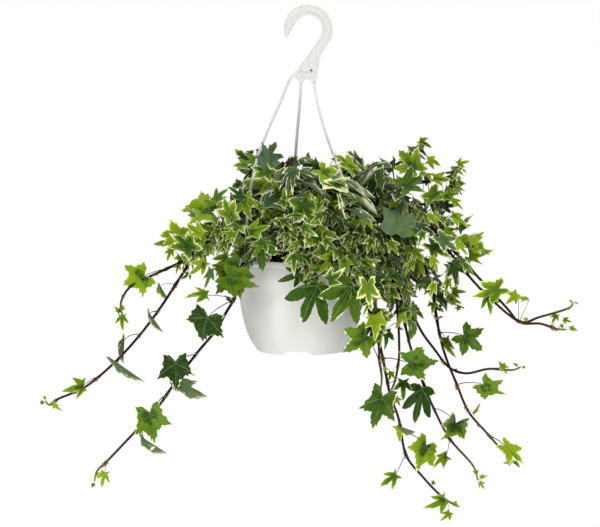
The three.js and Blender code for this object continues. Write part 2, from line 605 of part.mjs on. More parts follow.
// The crown: stems that rise from the soil at golden-angle steps and arch out over the rim.
const CROWN_STEMS = 20;
const CROWN_LEAVES = 3;
const GOLDEN_ANGLE = 137.508;
const CROWN_REACH = { right: 172, left: 108, front: 84, back: 84 };
const CROWN_TIERS = [
  { reach: 0.98, apex: 58, end: -8, sizes: [36, 27] },
  { reach: 0.72, apex: 86, end: 44, sizes: [38, 30] },
  { reach: 0.42, apex: 104, end: 88, sizes: [36, 30] },
];

function crownPoints(number, attempt) {
  const random = (choice) => draw(number, 90, attempt, choice);
  const azimuth = radians(GOLDEN_ANGLE * number + 26 * (random(0) - 0.5));
  const [cos, sin] = [Math.cos(azimuth), Math.sin(azimuth)];
  const reachX = cos > 0 ? CROWN_REACH.right : CROWN_REACH.left;
  const reachY = sin > 0 ? CROWN_REACH.back : CROWN_REACH.front;
  const full = 1 / Math.hypot(cos / reachX, sin / reachY);
  const tier = CROWN_TIERS[number % CROWN_TIERS.length];
  const start = 12 + 44 * Math.sqrt(random(1));
  const reach = Math.max(full * tier.reach * mix(0.86, 1.1, random(2)), start + 14);
  const apex = tier.apex * mix(0.88, 1.12, random(3));
  const sway = 26 * (random(4) - 0.5);
  const rows = [
    [0, -ROOT_DEPTH, 0],
    [0.03, -4, 0],
    [0.22, apex * 0.66, 0.3],
    [0.48, apex, 0.8],
    [0.76, mix(apex, tier.end, 0.4), 1],
    [1, tier.end, 0.7],
  ];
  return rows.map(([share, height, swing]) => {
    const radius = mix(start, reach, share);
    return new THREE.Vector3(
      radius * cos - sway * swing * sin, radius * sin + sway * swing * cos, height);
  });
}

function stemSolid({ points }) {
  const radii = points.map((_, i) => mix(STEM_RADIUS, STEM_TIP_RADIUS, i / (points.length - 1)));
  return rod(points, radii, STEM_SIDES);
}

// The plain hole in the soil that a stem stands in.
function rootHole({ points }) {
  const [foot, neck] = points;
  const along = neck.clone().sub(foot).normalize();
  const below = foot.clone().addScaledVector(along, -0.8);
  const above = neck.clone().addScaledVector(along, 2);
  const radius = STEM_RADIUS + HOLE_CLEARANCE;
  return rod([below, above], [radius, radius], STEM_SIDES);
}

// ---- Assembly -----------------------------------------------------------------------------------
const overlapping = (a, b) =>
  [0, 1, 2].every((k) => a.min[k] - CLEARANCE < b.max[k] && b.min[k] - CLEARANCE < a.max[k]);

// Solids already in place, each with the stem that it belongs to.
const placed = [];
function place(shape, owner, part) {
  placed.push({ shape, owner, part, box: shape.boundingBox() });
}

// Whether a new leaf or stem keeps clear of all that is placed; a leaf may touch its own stem only.
function clear(shape, owner, part) {
  const box = shape.boundingBox();
  return placed.every((other) => {
    const own = other.owner === owner && part === "leaf" && other.part === "stem";
    return own || !overlapping(box, other.box) || shape.minGap(other.shape, 1) >= CLEARANCE;
  });
}

// Whether a solid is one body in which no two corners meet.
function sound(shape) {
  const { vertProperties, numVert } = shape.getMesh();
  const corners = new Set();
  for (let i = 0; i < numVert; i++)
    corners.add(Array.from(vertProperties.subarray(3 * i, 3 * i + 3), (v) => v.toFixed(3)).join());
  return corners.size === numVert && shape.decompose().length === 1;
}

// Adds one leaf to a stem's solid for each slot, by the first try that fits.
function growLeaves(stem, slots, leafOf) {
  for (let slot = 0; slot < slots; slot++)
    for (let attempt = 0; attempt < ATTEMPTS; attempt++) {
      const shape = leafSolid(leafOf(stem, slot, attempt));
      if (!clear(shape, stem.number, "leaf")) continue;
      const joined = tidied(stem.joined.add(shape));
      if (!sound(joined)) continue;
      place(shape, stem.number, "leaf");
      stem.joined = joined;
      break;
    }
}

const potSolid = pot();
const hangerSolid = hanger();
const soilSolid = soil();
place(potSolid, "pot", "body");
place(hangerSolid, "hanger", "body");

const stems = Object.entries(TRAILS).map(([name, { route, leaves, cover }], number) => {
  const [from, to, count, ...sizes] = cover;
  return { name, number, points: vectors(route), leaves, cover: { from, to, count, sizes } };
});
for (const stem of stems) place(stemSolid(stem), stem.number, "stem");

for (let i = 0; i < CROWN_STEMS; i++) {
  const number = stems.length;
  for (let attempt = 0; attempt < ATTEMPTS; attempt++) {
    const points = crownPoints(number, attempt);
    if (!clear(stemSolid({ points }), number, "stem")) continue;
    const { sizes } = CROWN_TIERS[number % CROWN_TIERS.length];
    const cover = { from: 1.7, to: 4.8, count: CROWN_LEAVES, sizes };
    stems.push({ name: `crown_stem_${i + 1}`, number, points, leaves: [], cover });
    place(stemSolid({ points }), number, "stem");
    break;
  }
}

for (const stem of stems) stem.joined = stemSolid(stem);
for (const stem of stems) growLeaves(stem, stem.leaves.length, shownLeaf);
for (const stem of stems) growLeaves(stem, stem.cover.count, grownLeaf);

const plant = new THREE.Group();
for (const stem of stems) plant.add(meshOf(stem.name, stem.joined, leafGreen));

const holes = wasm.Manifold.union(stems.map(rootHole));
const atPot = new THREE.Group();
atPot.position.set(POT_SHIFT, 0, -RIM_DROP);
atPot.add(meshOf("pot", tidied(potSolid), potWhite));
atPot.add(meshOf("hanger", tidied(hangerSolid), potWhite));
atPot.add(meshOf("soil", tidied(soilSolid.subtract(holes)), soilBrown));
atPot.add(plant);

const hangingIvy = new THREE.Group();
hangingIvy.add(atPot);
export default hangingIvy;
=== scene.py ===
# A potted ivy in a white hanging pot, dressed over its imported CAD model. Metres, +Z up, seen
# from -Y, with the origin where the hook bears. It follows the plant as it is put together:
# pot, hanger, root ball, stems, leaves, and then the studio.
import math

import bmesh
import bpy
from mathutils import Matrix, Vector, kdtree, noise


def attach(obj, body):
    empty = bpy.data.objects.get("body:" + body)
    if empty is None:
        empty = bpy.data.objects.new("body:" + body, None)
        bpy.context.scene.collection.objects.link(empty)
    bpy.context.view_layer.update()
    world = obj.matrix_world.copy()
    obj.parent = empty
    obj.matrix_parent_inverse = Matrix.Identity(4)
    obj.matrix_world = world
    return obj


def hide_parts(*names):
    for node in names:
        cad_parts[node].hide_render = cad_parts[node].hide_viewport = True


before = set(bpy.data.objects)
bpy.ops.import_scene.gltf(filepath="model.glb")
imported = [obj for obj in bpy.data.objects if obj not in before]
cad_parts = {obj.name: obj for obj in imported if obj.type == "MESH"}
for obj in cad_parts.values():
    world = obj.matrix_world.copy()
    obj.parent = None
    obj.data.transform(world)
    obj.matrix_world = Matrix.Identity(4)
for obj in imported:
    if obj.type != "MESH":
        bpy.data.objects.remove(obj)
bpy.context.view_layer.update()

# ---- Pot ----------------------------------------------------------------------------------------
# An injection-moulded pot of white polypropylene: a thin tapering wall under a straight collar, a
# rolled lip, a skirted foot with four drain notches, and three tabs inside the rim for the hanger.
# Its lines are turned round the axis; notches, drain holes and tabs are cut or added after that.
TO_METRES = Matrix.Scale(0.001, 4)
RIM_MIDDLE = Vector((-10, 0, -295))
POT_HEIGHT = 115
POT_STEPS = 144
FOOT_RADIUS, FOOT_HEIGHT, FOOT_SKIRT = 53.5, 5.5, 2
WALL = 1.8
FLOOR_TOP = FOOT_HEIGHT + WALL
FLOOR_CORNER, FLOOR_CLEAR = (0.8, 0.6), 2
WALL_LINE = [(FOOT_RADIUS, 0), (55.2, 1), (63.5, 15), (69.2, 30), (74.8, 55), (77.8, 84)]
COLLAR_LINE = [(78.4, 84.6), (78.8, 90), (79.4, 90.6), (80.5, 108), (82.2, 109.5)]
LIP_LINE = [(82.5, 110.6), (82.5, 113.4), (82, 114.5), (81.1, 115), (79.7, 115), (78.9, 114.5),
            (78.5, 113)]
INNER_COLLAR_LINE = [(78.6, 106), (77.3, 90.4), (76.6, 89.4)]
MOULD_LINES, MOULD_LINE_DEPTH, MOULD_LINE_WIDTH = [10.7, 16.7, 76], 0.13, 1.8
DRAIN_NOTCHES = {"count": 4, "turn": -95, "foot": 20.8, "top": 11.3, "roof": 0.6}
DRAIN_HOLES = {"count": 6, "ring": 38, "radius": 4, "patch": 7.5}
TAB_LINES = {"out": (70.4, 72.9, 77.5, 79.4), "across": (-6, -2.2, 2.2, 6)}
TAB_TOP, TAB_THICKNESS = -3, 2.5
LEG_TURNS, LEG_SEAT = [213, 333, 99], 75.2
SHARP_FROM = 38


class Value:
    """A socket of a material, with the arithmetic that its patterns are written in."""

    def __init__(self, finish, socket):
        self.finish, self.socket = finish, socket

    def _maths(self, operation, first, second=0.0):
        return self.finish.node("Math", {"operation": operation}, {0: first, 1: second})

    def __add__(self, other):
        return self._maths("ADD", self, other)

    def __sub__(self, other):
        return self._maths("SUBTRACT", self, other)

    def __rsub__(self, other):
        return self._maths("SUBTRACT", other, self)

    def __mul__(self, other):
        return self._maths("MULTIPLY", self, other)

    def __abs__(self):
        return self._maths("ABSOLUTE", self)

    def __mod__(self, other):
        return self._maths("MODULO", self, other)

    __radd__, __rmul__ = __add__, __mul__

    def most(self, other):
        return self._maths("MAXIMUM", self, other)

    def step(self, low, high):
        """0 below low, 1 above high, and smooth between them."""
        return self.finish.node(
            "MapRange",
            {"interpolation_type": "SMOOTHSTEP"},
            {"Value": self, "From Min": low, "From Max": high},
        )


class Finish:
    """A material: its constants are set on the shader, and what varies is linked to it."""

    def __init__(self, name, **constants):
        self.material = bpy.data.materials.new(name)
        self.material.use_nodes = True
        self.tree = self.material.node_tree
        self.shader = self.tree.nodes["Principled BSDF"]
        for socket, value in constants.items():
            self.shader.inputs[socket.replace("_", " ")].default_value = value

    def node(self, kind, settings=None, sockets=None, output=0):
        node = self.tree.nodes.new("ShaderNode" + kind)
        for name, value in (settings or {}).items():
            if name == "stops":
                ramp = node.color_ramp.elements
                while len(ramp) < len(value):
                    ramp.new(1.0)
                for stop, (position, colour) in zip(ramp, value):
                    stop.position, stop.color = position, (*colour, 1.0)
            else:
                setattr(node, name, value)
        for name, value in (sockets or {}).items():
            if isinstance(value, Value):
                self.tree.links.new(value.socket, node.inputs[name])
            else:
                node.inputs[name].default_value = value
        return Value(self, node.outputs[output])

    def place(self):
        return self.node("TexCoord", output=3)

    def mixed(self, share, first, second):
        colours = [c if isinstance(c, Value) else (*c, 1.0) for c in (first, second)]
        return self.node(
            "Mix", {"data_type": "RGBA"}, {0: share, 6: colours[0], 7: colours[1]}, output=2
        )

    def cloud(self, place, scale, detail=2.0):
        return self.node("TexNoise", {}, {"Vector": place, "Scale": scale, "Detail": detail})

    def link(self, name, value):
        self.tree.links.new(value.socket, self.shader.inputs[name])

    def bump(self, height, strength, distance):
        sockets = {"Height": height, "Strength": strength, "Distance": distance}
        self.link("Normal", self.node("Bump", {}, sockets))


def piece(name, bm, node, finishes):
    """Makes one finished piece of a mesh in millimetres round the middle of the pot's rim."""
    bmesh.ops.transform(bm, matrix=TO_METRES @ Matrix.Translation(RIM_MIDDLE), verts=bm.verts)
    mesh = bpy.data.meshes.new(name)
    bm.to_mesh(mesh)
    bm.free()
    made = bpy.data.objects.new(name, mesh)
    bpy.context.scene.collection.objects.link(made)
    for finish in finishes:
        mesh.materials.append(finish.material)
    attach(made, "root")
    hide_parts(node)
    return made


def through(points, cuts):
    """The points of a smooth line through the given ones, with `cuts` steps from each to the next."""
    line = []
    for k in range(len(points) - 1):
        before, start, end = points[max(k - 1, 0)], points[k], points[k + 1]
        after = points[min(k + 2, len(points) - 1)]
        for i in range(cuts):
            t = i / cuts
            line.append(
                0.5 * (2 * start + (end - before) * t
                       + (2 * before - 5 * start + 4 * end - after) * t * t
                       + (3 * start - before - 3 * end + after) * t ** 3)
            )
    return [*line, points[-1]]


def mixed(first, second, share):
    return first + (second - first) * share


def part_way(value, low, high):
    """How far a value is on its way from low to high, from 0 to 1."""
    return min(max((value - low) / (high - low), 0), 1)


def shade(bm, sharp_from=SHARP_FROM):
    """Smooth faces, with the edges kept sharp where they meet at more than an angle in degrees."""
    for face in bm.faces:
        face.smooth = True
    for edge in bm.edges:
        edge.smooth = edge.calc_face_angle(0) < math.radians(sharp_from)


def wall_radius(height, wall=WALL_LINE):
    for (low, start), (high, end) in zip(wall, wall[1:]):
        if height <= end:
            return mixed(low, high, (height - start) / (end - start))
    return wall[-1][0]


def pot_line():
    """The pot's profile as (radius, height) from under its floor, up outside and down inside."""
    wall = [(p.x, p.y) for p in through([Vector(p) for p in WALL_LINE[1:]], 8)]
    outside = list(wall)
    for line in MOULD_LINES:
        for off, depth in ((-0.5, 0), (0, MOULD_LINE_DEPTH), (0.5, 0)):
            height = line + off * MOULD_LINE_WIDTH
            outside.append((wall_radius(height, wall) - depth, height))
    outside.sort(key=lambda point: point[1])
    inside = [(r - WALL, h) for r, h in reversed(wall) if h > FLOOR_TOP + FLOOR_CLEAR]
    patch = [DRAIN_HOLES["ring"] + side * DRAIN_HOLES["radius"] for side in (-1, 1)]
    skirt, corner = FOOT_RADIUS - FOOT_SKIRT, wall_radius(FLOOR_TOP) - WALL
    return [
        (0, FOOT_HEIGHT), (patch[0], FOOT_HEIGHT), (patch[1], FOOT_HEIGHT), (skirt, FOOT_HEIGHT),
        (skirt, 0), WALL_LINE[0], *outside, *COLLAR_LINE, *LIP_LINE, *INNER_COLLAR_LINE, *inside,
        (corner, FLOOR_TOP + FLOOR_CORNER[1]), (corner - FLOOR_CORNER[0], FLOOR_TOP),
        (patch[1], FLOOR_TOP), (patch[0], FLOOR_TOP), (0, FLOOR_TOP),
    ]


def azimuth_from(point, turn):
    """How far round the axis a point is from a direction, in degrees from -180 to 180."""
    return (math.degrees(math.atan2(point.y, point.x)) - turn + 180) % 360 - 180


def turned(line, steps):
    """A closed solid turned from a line of (radius, height) that starts and ends on the axis."""
    bm = bmesh.new()
    verts = [bm.verts.new((radius, 0, height)) for radius, height in line]
    edges = [bm.edges.new(pair) for pair in zip(verts, verts[1:])]
    bmesh.ops.spin(
        bm, geom=verts + edges, cent=(0, 0, 0), axis=(0, 0, 1), angle=math.tau, steps=steps,
        use_merge=True,
    )
    bmesh.ops.remove_doubles(bm, verts=bm.verts, dist=1e-4)
    return bm


def lift_notches(bm):
    """Draws the foot's skirt up in drain notches with sloping sides."""
    foot, count = DRAIN_NOTCHES["foot"], DRAIN_NOTCHES["count"]
    turns = [DRAIN_NOTCHES["turn"] + 360 / count * i for i in range(count)]
    for vert in bm.verts:
        radius = math.hypot(vert.co.x, vert.co.y)
        if vert.co.z < FOOT_HEIGHT and radius > FOOT_RADIUS - 1.05 * FOOT_SKIRT:
            off = min(abs(azimuth_from(vert.co, turn)) for turn in turns)
            slope = part_way(off, foot, DRAIN_NOTCHES["top"])
            lift = (FOOT_HEIGHT - DRAIN_NOTCHES["roof"]) * slope
            height = lift + vert.co.z * (FOOT_HEIGHT - lift) / FOOT_HEIGHT
            if radius > FOOT_RADIUS - FOOT_SKIRT / 2:
                grow = wall_radius(height) / radius if vert.co.z > 0 or lift else 1
                vert.co.x, vert.co.y = vert.co.x * grow, vert.co.y * grow
            vert.co.z = height


def open_drain_hole(bm, turn):
    """Takes a patch out of the floor's two sides, rounds both openings and joins them."""
    ring, hole = DRAIN_HOLES["ring"], DRAIN_HOLES["radius"]
    middle = Vector((math.cos(math.radians(turn)), math.sin(math.radians(turn)))) * ring
    patch = []
    for face in bm.faces:
        centre = face.calc_center_median()
        radius = math.hypot(centre.x, centre.y)
        if (abs(radius - ring) < hole and centre.z < FLOOR_TOP + WALL / 2
                and abs(azimuth_from(centre, turn)) < DRAIN_HOLES["patch"]):
            patch.append(face)
    bmesh.ops.delete(bm, geom=patch, context="FACES")
    open_edges = [edge for edge in bm.edges if edge.is_boundary]
    for vert in {vert for edge in open_edges for vert in edge.verts}:
        vert.co.xy = middle + (vert.co.xy - middle).normalized() * hole
    bmesh.ops.bridge_loops(bm, edges=open_edges)


def add_tab(bm, turn):
    """A flat tab inside the rim, with the slot that a leg of the hanger passes through."""
    tab = bmesh.new()
    half = len(TAB_LINES["out"]) / 2 - 0.5
    bmesh.ops.create_grid(tab, x_segments=3, y_segments=3, size=half)
    for vert in tab.verts:
        vert.co.x = TAB_LINES["out"][round(vert.co.x + half)]
        vert.co.y = TAB_LINES["across"][round(vert.co.y + half)]
        vert.co.z = TAB_TOP + POT_HEIGHT
    seat = Vector((LEG_SEAT, 0))
    slot_face = min(tab.faces, key=lambda face: (face.calc_center_median().xy - seat).length)
    bmesh.ops.delete(tab, geom=[slot_face], context="FACES")
    walls = bmesh.ops.extrude_face_region(tab, geom=list(tab.faces))["geom"]
    lower = [item for item in walls if isinstance(item, bmesh.types.BMVert)]
    bmesh.ops.translate(tab, vec=(0, 0, -TAB_THICKNESS), verts=lower)
    bmesh.ops.recalc_face_normals(tab, faces=tab.faces)
    bmesh.ops.rotate(tab, matrix=Matrix.Rotation(math.radians(turn), 3, "Z"), verts=tab.verts)
    mesh = bpy.data.meshes.new("tab")
    tab.to_mesh(mesh)
    tab.free()
    bm.from_mesh(mesh)
    bpy.data.meshes.remove(mesh)


pot = turned(pot_line(), POT_STEPS)
lift_notches(pot)
for i in range(DRAIN_HOLES["count"]):
    open_drain_hole(pot, 360 / DRAIN_HOLES["count"] * i)
bmesh.ops.recalc_face_normals(pot, faces=pot.faces)
for turn in LEG_TURNS:
    add_tab(pot, turn)
bmesh.ops.translate(pot, vec=(0, 0, -POT_HEIGHT), verts=pot.verts)
shade(pot)

pot_plastic = Finish("white_pot_plastic", Roughness=0.4, IOR=1.49)
place = pot_plastic.place()
pale = pot_plastic.cloud(place, 14, 3)
dust = pot_plastic.cloud(place, 160, 4)
ivory = pot_plastic.mixed(pale.step(0.3, 0.75), (0.79, 0.79, 0.75), (0.745, 0.74, 0.695))
dusty = pot_plastic.mixed(dust.step(0.62, 0.8) * 0.22, ivory, (0.6, 0.58, 0.5))
pot_plastic.link("Base Color", dusty)
pot_plastic.link("Roughness", pale * 0.14 + dust * 0.1 + 0.26)
pot_plastic.bump(pot_plastic.cloud(place, 900, 3), 0.1, 0.0004)
piece("pot_shell", pot, "pot", [pot_plastic])

# ---- Hanger -------------------------------------------------------------------------------------
# One moulding of the same plastic: a flat hook with a border round both of its hollowed faces, a
# plate with two arches below it, and three thin legs, each with a barb that clips under a tab.
HOOK_MIDDLE = Vector((-1.8, -17.6))
HOOK_OUTER, HOOK_INNER = 30, 17.2
HOOK_THICKNESS, HOOK_WEB, HOOK_BORDER, HOOK_ROUNDING = 5.2, 2.6, 2.2, 0.45
POCKET_END = [(7.2, -70), (-14, -70)]
POCKET_SLOPE, POCKET_EDGE = (0, 0.3, 0.45), 0.25
SHANK_RIGHT = [(19.5, -40), (13.5, -50.5), (10.6, -66)]
SHANK_LEFT = [(-11.3, -61.5), (0, -46), (9, -33)]
PLATE_RIGHT, PLATE_LEFT = [(8, -81), (7.6, -84), (3.2, -84)], (-27, -79.5)
FIRST_ARCH = [(3.2, -84), (1.5, -79.5), (-2.4, -77.5), (-6.5, -79.5), (-8.2, -84)]
SECOND_ARCH = [(-12.8, -84), (-14.5, -78.5), (-17.5, -76.5), (-20.4, -77.5), (-22.4, -81)]
HOOK_TIP = [(-21.8, -18.5), (-25.2, -24), (-26.6, -27.6), (-29.2, -28.4)]
PLATE_MARKS = [((2, -67.5), 2.4, 0.675), ((-9.5, -67.6), 1.0, 0.18)]
MARK_RISE, MARK_SUNK, MARK_SLOPE, MARK_SIDES = 0.3, 0.2, 0.15, 20
LEG_WIDTH, LEG_DEPTH, LEG_TOP, LEG_END = 3.4, 2.6, 6, 3
LEGS = [
    {"root": (-9.2, 223), "foot": (-14.8, 215),
     "bow": [(33, 184), (50, 152), (65, 115), (76, 66), (77.6, 30)]},
    {"root": (14.6, 217), "foot": (15.6, 211),
     "bow": [(24, 182), (34, 150), (50, 112), (70, 62), (76.4, 30)]},
    {"root": (-0.5, 217), "foot": (-0.5, 211),
     "bow": [(14, 184), (32, 152), (50, 114), (70, 64), (76.4, 30)]},
]
ROUNDED_BAR = [(1, 0.62), (0.72, 1), (-0.72, 1), (-1, 0.62), (-1, -0.62), (-0.72, -1), (0.72, -1),
               (1, -0.62)]
CLIP_GAP = 0.3
BARB = {"narrow": 2.4, "broad": 4.6, "height": 3.4, "shape": (0.46, 1.12, 1)}


def hook_arc(radius, start, end, steps):
    turns = [math.radians(mixed(start, end, i / steps)) for i in range(steps + 1)]
    return [HOOK_MIDDLE + radius * Vector((math.cos(turn), math.sin(turn))) for turn in turns]


def flat(points):
    return [Vector(point) for point in points]


def sweep(bm, points, across, widths, sides, corners=None):
    """A tube through the points. `across` starts its frame, `widths` are its half sizes at each."""
    corner = bm.verts.layers.int.get("corner") or bm.verts.layers.int.new("corner")
    ring = bmesh.ops.create_circle(bm, segments=sides, radius=1)["verts"]
    ring.sort(key=lambda vert: math.atan2(vert.co.y, vert.co.x) % math.tau)
    units = corners or [vert.co.xy for vert in ring]
    for i, vert in enumerate(ring):
        vert[corner] = i
    edges = list({edge for vert in ring for edge in vert.link_edges})
    ends = [edges]
    for k, point in enumerate(points):
        along = (points[min(k + 1, len(points) - 1)] - points[max(k - 1, 0)]).normalized()
        across = (across - along * across.dot(along)).normalized()
        other = along.cross(across)
        if k:
            made = bmesh.ops.extrude_edge_only(bm, edges=edges)["geom"]
            ring = [item for item in made if isinstance(item, bmesh.types.BMVert)]
            fresh = set(ring)
            edges = [item for item in made if isinstance(item, bmesh.types.BMEdge)
                     and item.verts[0] in fresh and item.verts[1] in fresh]
        half = widths[k] if isinstance(widths[k], tuple) else (widths[k], widths[k])
        for vert in ring:
            unit = units[vert[corner]]
            vert.co = point + across * (unit[0] * half[0]) + other * (unit[1] * half[1])
    ends.append(edges)
    for rim in ends:
        bmesh.ops.contextual_create(bm, geom=rim)
    return bm


def hook_outline(inset, plate_end):
    """The hook's outline, drawn in by an inset all round, down to the given end of its plate."""
    outer = hook_arc(HOOK_OUTER - inset, 196, -22, 44)
    inner = hook_arc(HOOK_INNER + inset, -30, 158, 36)
    right = [Vector((x - inset, height + inset / 2)) for x, height in SHANK_RIGHT]
    left = [Vector((x + inset, height + inset / 2)) for x, height in SHANK_LEFT]
    tip = [Vector((x - inset * 0.3, height + inset)) for x, height in HOOK_TIP[:2 if inset else 4]]
    return [
        *outer[:-1], *through([outer[-1], *right], 4), *plate_end, *through([*left, inner[0]], 4)[:-1],
        *inner, *tip,
    ]


def loop_of(bm, points, depth):
    """A closed loop of edges through flat points, [x, height], at a depth."""
    corner = bm.verts.layers.int["corner"]
    verts = [bm.verts.new((point[0], depth, point[1])) for point in points]
    for i, vert in enumerate(verts):
        vert[corner] = i
    return [bm.edges.new((vert, verts[i - 1])) for i, vert in enumerate(verts)]


def carried(bm, edges, points, depth):
    """A new loop drawn from a loop of edges and set to other points."""
    corner = bm.verts.layers.int["corner"]
    made = bmesh.ops.extrude_edge_only(bm, edges=edges)["geom"]
    fresh = [item for item in made if isinstance(item, bmesh.types.BMVert)]
    for vert in fresh:
        point = points[vert[corner]]
        vert.co = (point[0], depth, point[1])
    return [item for item in made if isinstance(item, bmesh.types.BMEdge)
            and item.verts[0] in fresh and item.verts[1] in fresh]


def hook_slab():
    """The flat hook and its plate, with every edge rounded."""
    bm = bmesh.new()
    bm.verts.layers.int.new("corner")
    arches = [*through(flat(FIRST_ARCH), 5)[1:], *through(flat(SECOND_ARCH), 5)]
    outline = hook_outline(0, [*flat(PLATE_RIGHT), *arches, Vector(PLATE_LEFT)])
    bmesh.ops.contextual_create(bm, geom=loop_of(bm, outline, -HOOK_THICKNESS / 2))
    slab = bmesh.ops.extrude_face_region(bm, geom=list(bm.faces))["geom"]
    behind = [item for item in slab if isinstance(item, bmesh.types.BMVert)]
    bmesh.ops.translate(bm, vec=(0, HOOK_THICKNESS, 0), verts=behind)
    bmesh.ops.recalc_face_normals(bm, faces=bm.faces)
    rounded = [edge for edge in bm.edges if edge.calc_face_angle(0) > math.radians(60)]
    bmesh.ops.bevel(
        bm, geom=rounded, offset=HOOK_ROUNDING, offset_type="OFFSET", affect="EDGES", segments=3,
        profile=0.5, material=-1, clamp_overlap=True,
    )
    return bm


def hollow_face(bm, side):
    """Sinks the middle of one face of the slab, which leaves its border standing."""
    broad = max(bm.faces, key=lambda face: face.calc_center_median().y * side * face.calc_area())
    around = list(broad.edges)
    bmesh.ops.delete(bm, geom=[broad], context="FACES_ONLY")
    pocket = [hook_outline(HOOK_BORDER + more, POCKET_END) for more in POCKET_SLOPE]
    edges = loop_of(bm, pocket[0], side * HOOK_THICKNESS / 2)
    bmesh.ops.triangle_fill(
        bm, edges=around + edges, use_beauty=True, use_dissolve=False, normal=(0, side, 0))
    edges = carried(bm, edges, pocket[1], side * (HOOK_THICKNESS / 2 - POCKET_EDGE))
    edges = carried(bm, edges, pocket[2], side * HOOK_WEB / 2)
    bmesh.ops.triangle_fill(
        bm, edges=edges, use_beauty=True, use_dissolve=False, normal=(0, side, 0))


def add_mark(bm, place, radius, ring, side):
    """A raised ring on a sunk face, where the mould's ejector pin pressed."""
    out = side * (HOOK_WEB + MARK_RISE - MARK_SUNK) / 2
    turn = Matrix.Rotation(math.radians(90 * -side), 4, "X")
    disc = bmesh.ops.create_cone(
        bm, cap_ends=True, segments=MARK_SIDES, radius1=radius, radius2=radius - MARK_SLOPE,
        depth=MARK_RISE + MARK_SUNK, matrix=Matrix.Translation((place[0], out, place[1])) @ turn,
    )["verts"]
    cap = [face for face in bm.faces if len(face.verts) == MARK_SIDES
           and all(vert in disc for vert in face.verts) and face.normal.y * side > 0.9]
    bmesh.ops.inset_region(bm, faces=cap, thickness=ring, depth=0)
    bmesh.ops.inset_region(bm, faces=cap, thickness=MARK_SLOPE, depth=-MARK_RISE)


def add_leg(bm, turn, leg):
    """A leg that bows from the plate out to the rim and down through its slot, with its barb."""
    out = Vector((math.cos(math.radians(turn)), math.sin(math.radians(turn)), 0))
    under = TAB_TOP - TAB_THICKNESS - CLIP_GAP
    route = [Vector((x, 0, height)) for x, height in (leg["root"], leg["foot"])]
    bow = [*leg["bow"], (LEG_SEAT, LEG_TOP), (LEG_SEAT, under - LEG_END)]
    route += [out * radius + Vector((0, 0, height)) for radius, height in bow]
    points = through(route, 8)
    sizes = [(LEG_WIDTH / 2, LEG_DEPTH / 2)] * len(points)
    sweep(bm, points, Vector((-out.y, out.x, 0)), sizes, len(ROUNDED_BAR), ROUNDED_BAR)
    seat = out * LEG_SEAT + Vector((0, 0, under - BARB["height"] / 2))
    facing = Matrix.Rotation(math.radians(turn), 3, "Z")
    shape = Matrix.LocRotScale(seat, facing, Vector(BARB["shape"]))
    bmesh.ops.create_cone(
        bm, cap_ends=True, segments=4, radius1=BARB["narrow"], radius2=BARB["broad"],
        depth=BARB["height"], matrix=shape @ Matrix.Rotation(math.radians(45), 4, "Z"),
    )


head = hook_slab()
for side in (-1, 1):
    hollow_face(head, side)
for place, radius, ring in PLATE_MARKS:
    for side in (-1, 1):
        add_mark(head, place, radius, ring, side)
bmesh.ops.translate(head, vec=-RIM_MIDDLE, verts=head.verts)
for turn, leg in zip(LEG_TURNS, LEGS):
    add_leg(head, turn, leg)
bmesh.ops.recalc_face_normals(head, faces=head.faces)
shade(head)

hanger_plastic = Finish("white_hanger_plastic", Roughness=0.36, IOR=1.49)
place = hanger_plastic.place()
streaks = hanger_plastic.cloud(place, 40, 3)
ivory = hanger_plastic.mixed(streaks.step(0.3, 0.75), (0.92, 0.905, 0.885), (0.88, 0.865, 0.84))
hanger_plastic.link("Base Color", ivory)
hanger_plastic.link("Roughness", streaks * 0.2 + 0.24)
hanger_plastic.bump(hanger_plastic.cloud(place, 1100, 2), 0.08, 0.0003)
piece("hanger_arm", head, "hanger", [hanger_plastic])

# ---- Root ball ----------------------------------------------------------------------------------
# Dark peaty potting soil that has taken the pot's shape, held together by roots, with a crumbly
# top a little under the rim and a few grains of white perlite in it.
SOIL_TOP, SOIL_CROWN, SOIL_EDGE, SOIL_SHOULDER = -13, 3, 76.6, 1.5
SOIL_RINGS, SOIL_SPREAD, SOIL_STEPS = range(74, 0, -2), 78, 120
SOIL_LINE = [(0, 7.65), (56.9, 7.65), (60.8, 15), (67.05, 30), (72.65, 55), (75.65, 84)]
CRUMBS = {"size": 4.5, "height": 1.5, "within": 74.5, "finer": 2.7, "finer_height": 0.6}

soil_line = [(radius, height - POT_HEIGHT) for radius, height in SOIL_LINE]
soil_line.append((SOIL_EDGE, SOIL_TOP - SOIL_SHOULDER))
for radius in SOIL_RINGS:
    soil_line.append((radius, SOIL_TOP + SOIL_CROWN * (1 - (radius / SOIL_SPREAD) ** 2)))
soil_line.append((0, SOIL_TOP + SOIL_CROWN))
root_ball = turned(soil_line, SOIL_STEPS)
for vert in root_ball.verts:
    if vert.co.z > SOIL_TOP - 1 and vert.co.xy.length < CRUMBS["within"]:
        grain = vert.co / CRUMBS["size"]
        rough = noise.noise(grain) + CRUMBS["finer_height"] * noise.noise(grain * CRUMBS["finer"])
        vert.co.z += CRUMBS["height"] * rough
bmesh.ops.recalc_face_normals(root_ball, faces=root_ball.faces)
shade(root_ball, 180)

peat = Finish("peaty_soil", Roughness=0.95)
place = peat.place()
clods = peat.cloud(place, 260, 5)
grains = peat.node("TexVoronoi", {}, {"Vector": place, "Scale": 300.0})
earth = peat.mixed(clods.step(0.35, 0.7), (0.012, 0.008, 0.005), (0.055, 0.034, 0.02))
peat.link("Base Color", peat.mixed(1 - grains.step(0.05, 0.12), earth, (0.55, 0.53, 0.48)))
peat.link("Roughness", clods * 0.2 + 0.78)
peat.bump(clods, 0.9, 0.002)
piece("root_ball", root_ball, "soil", [peat])

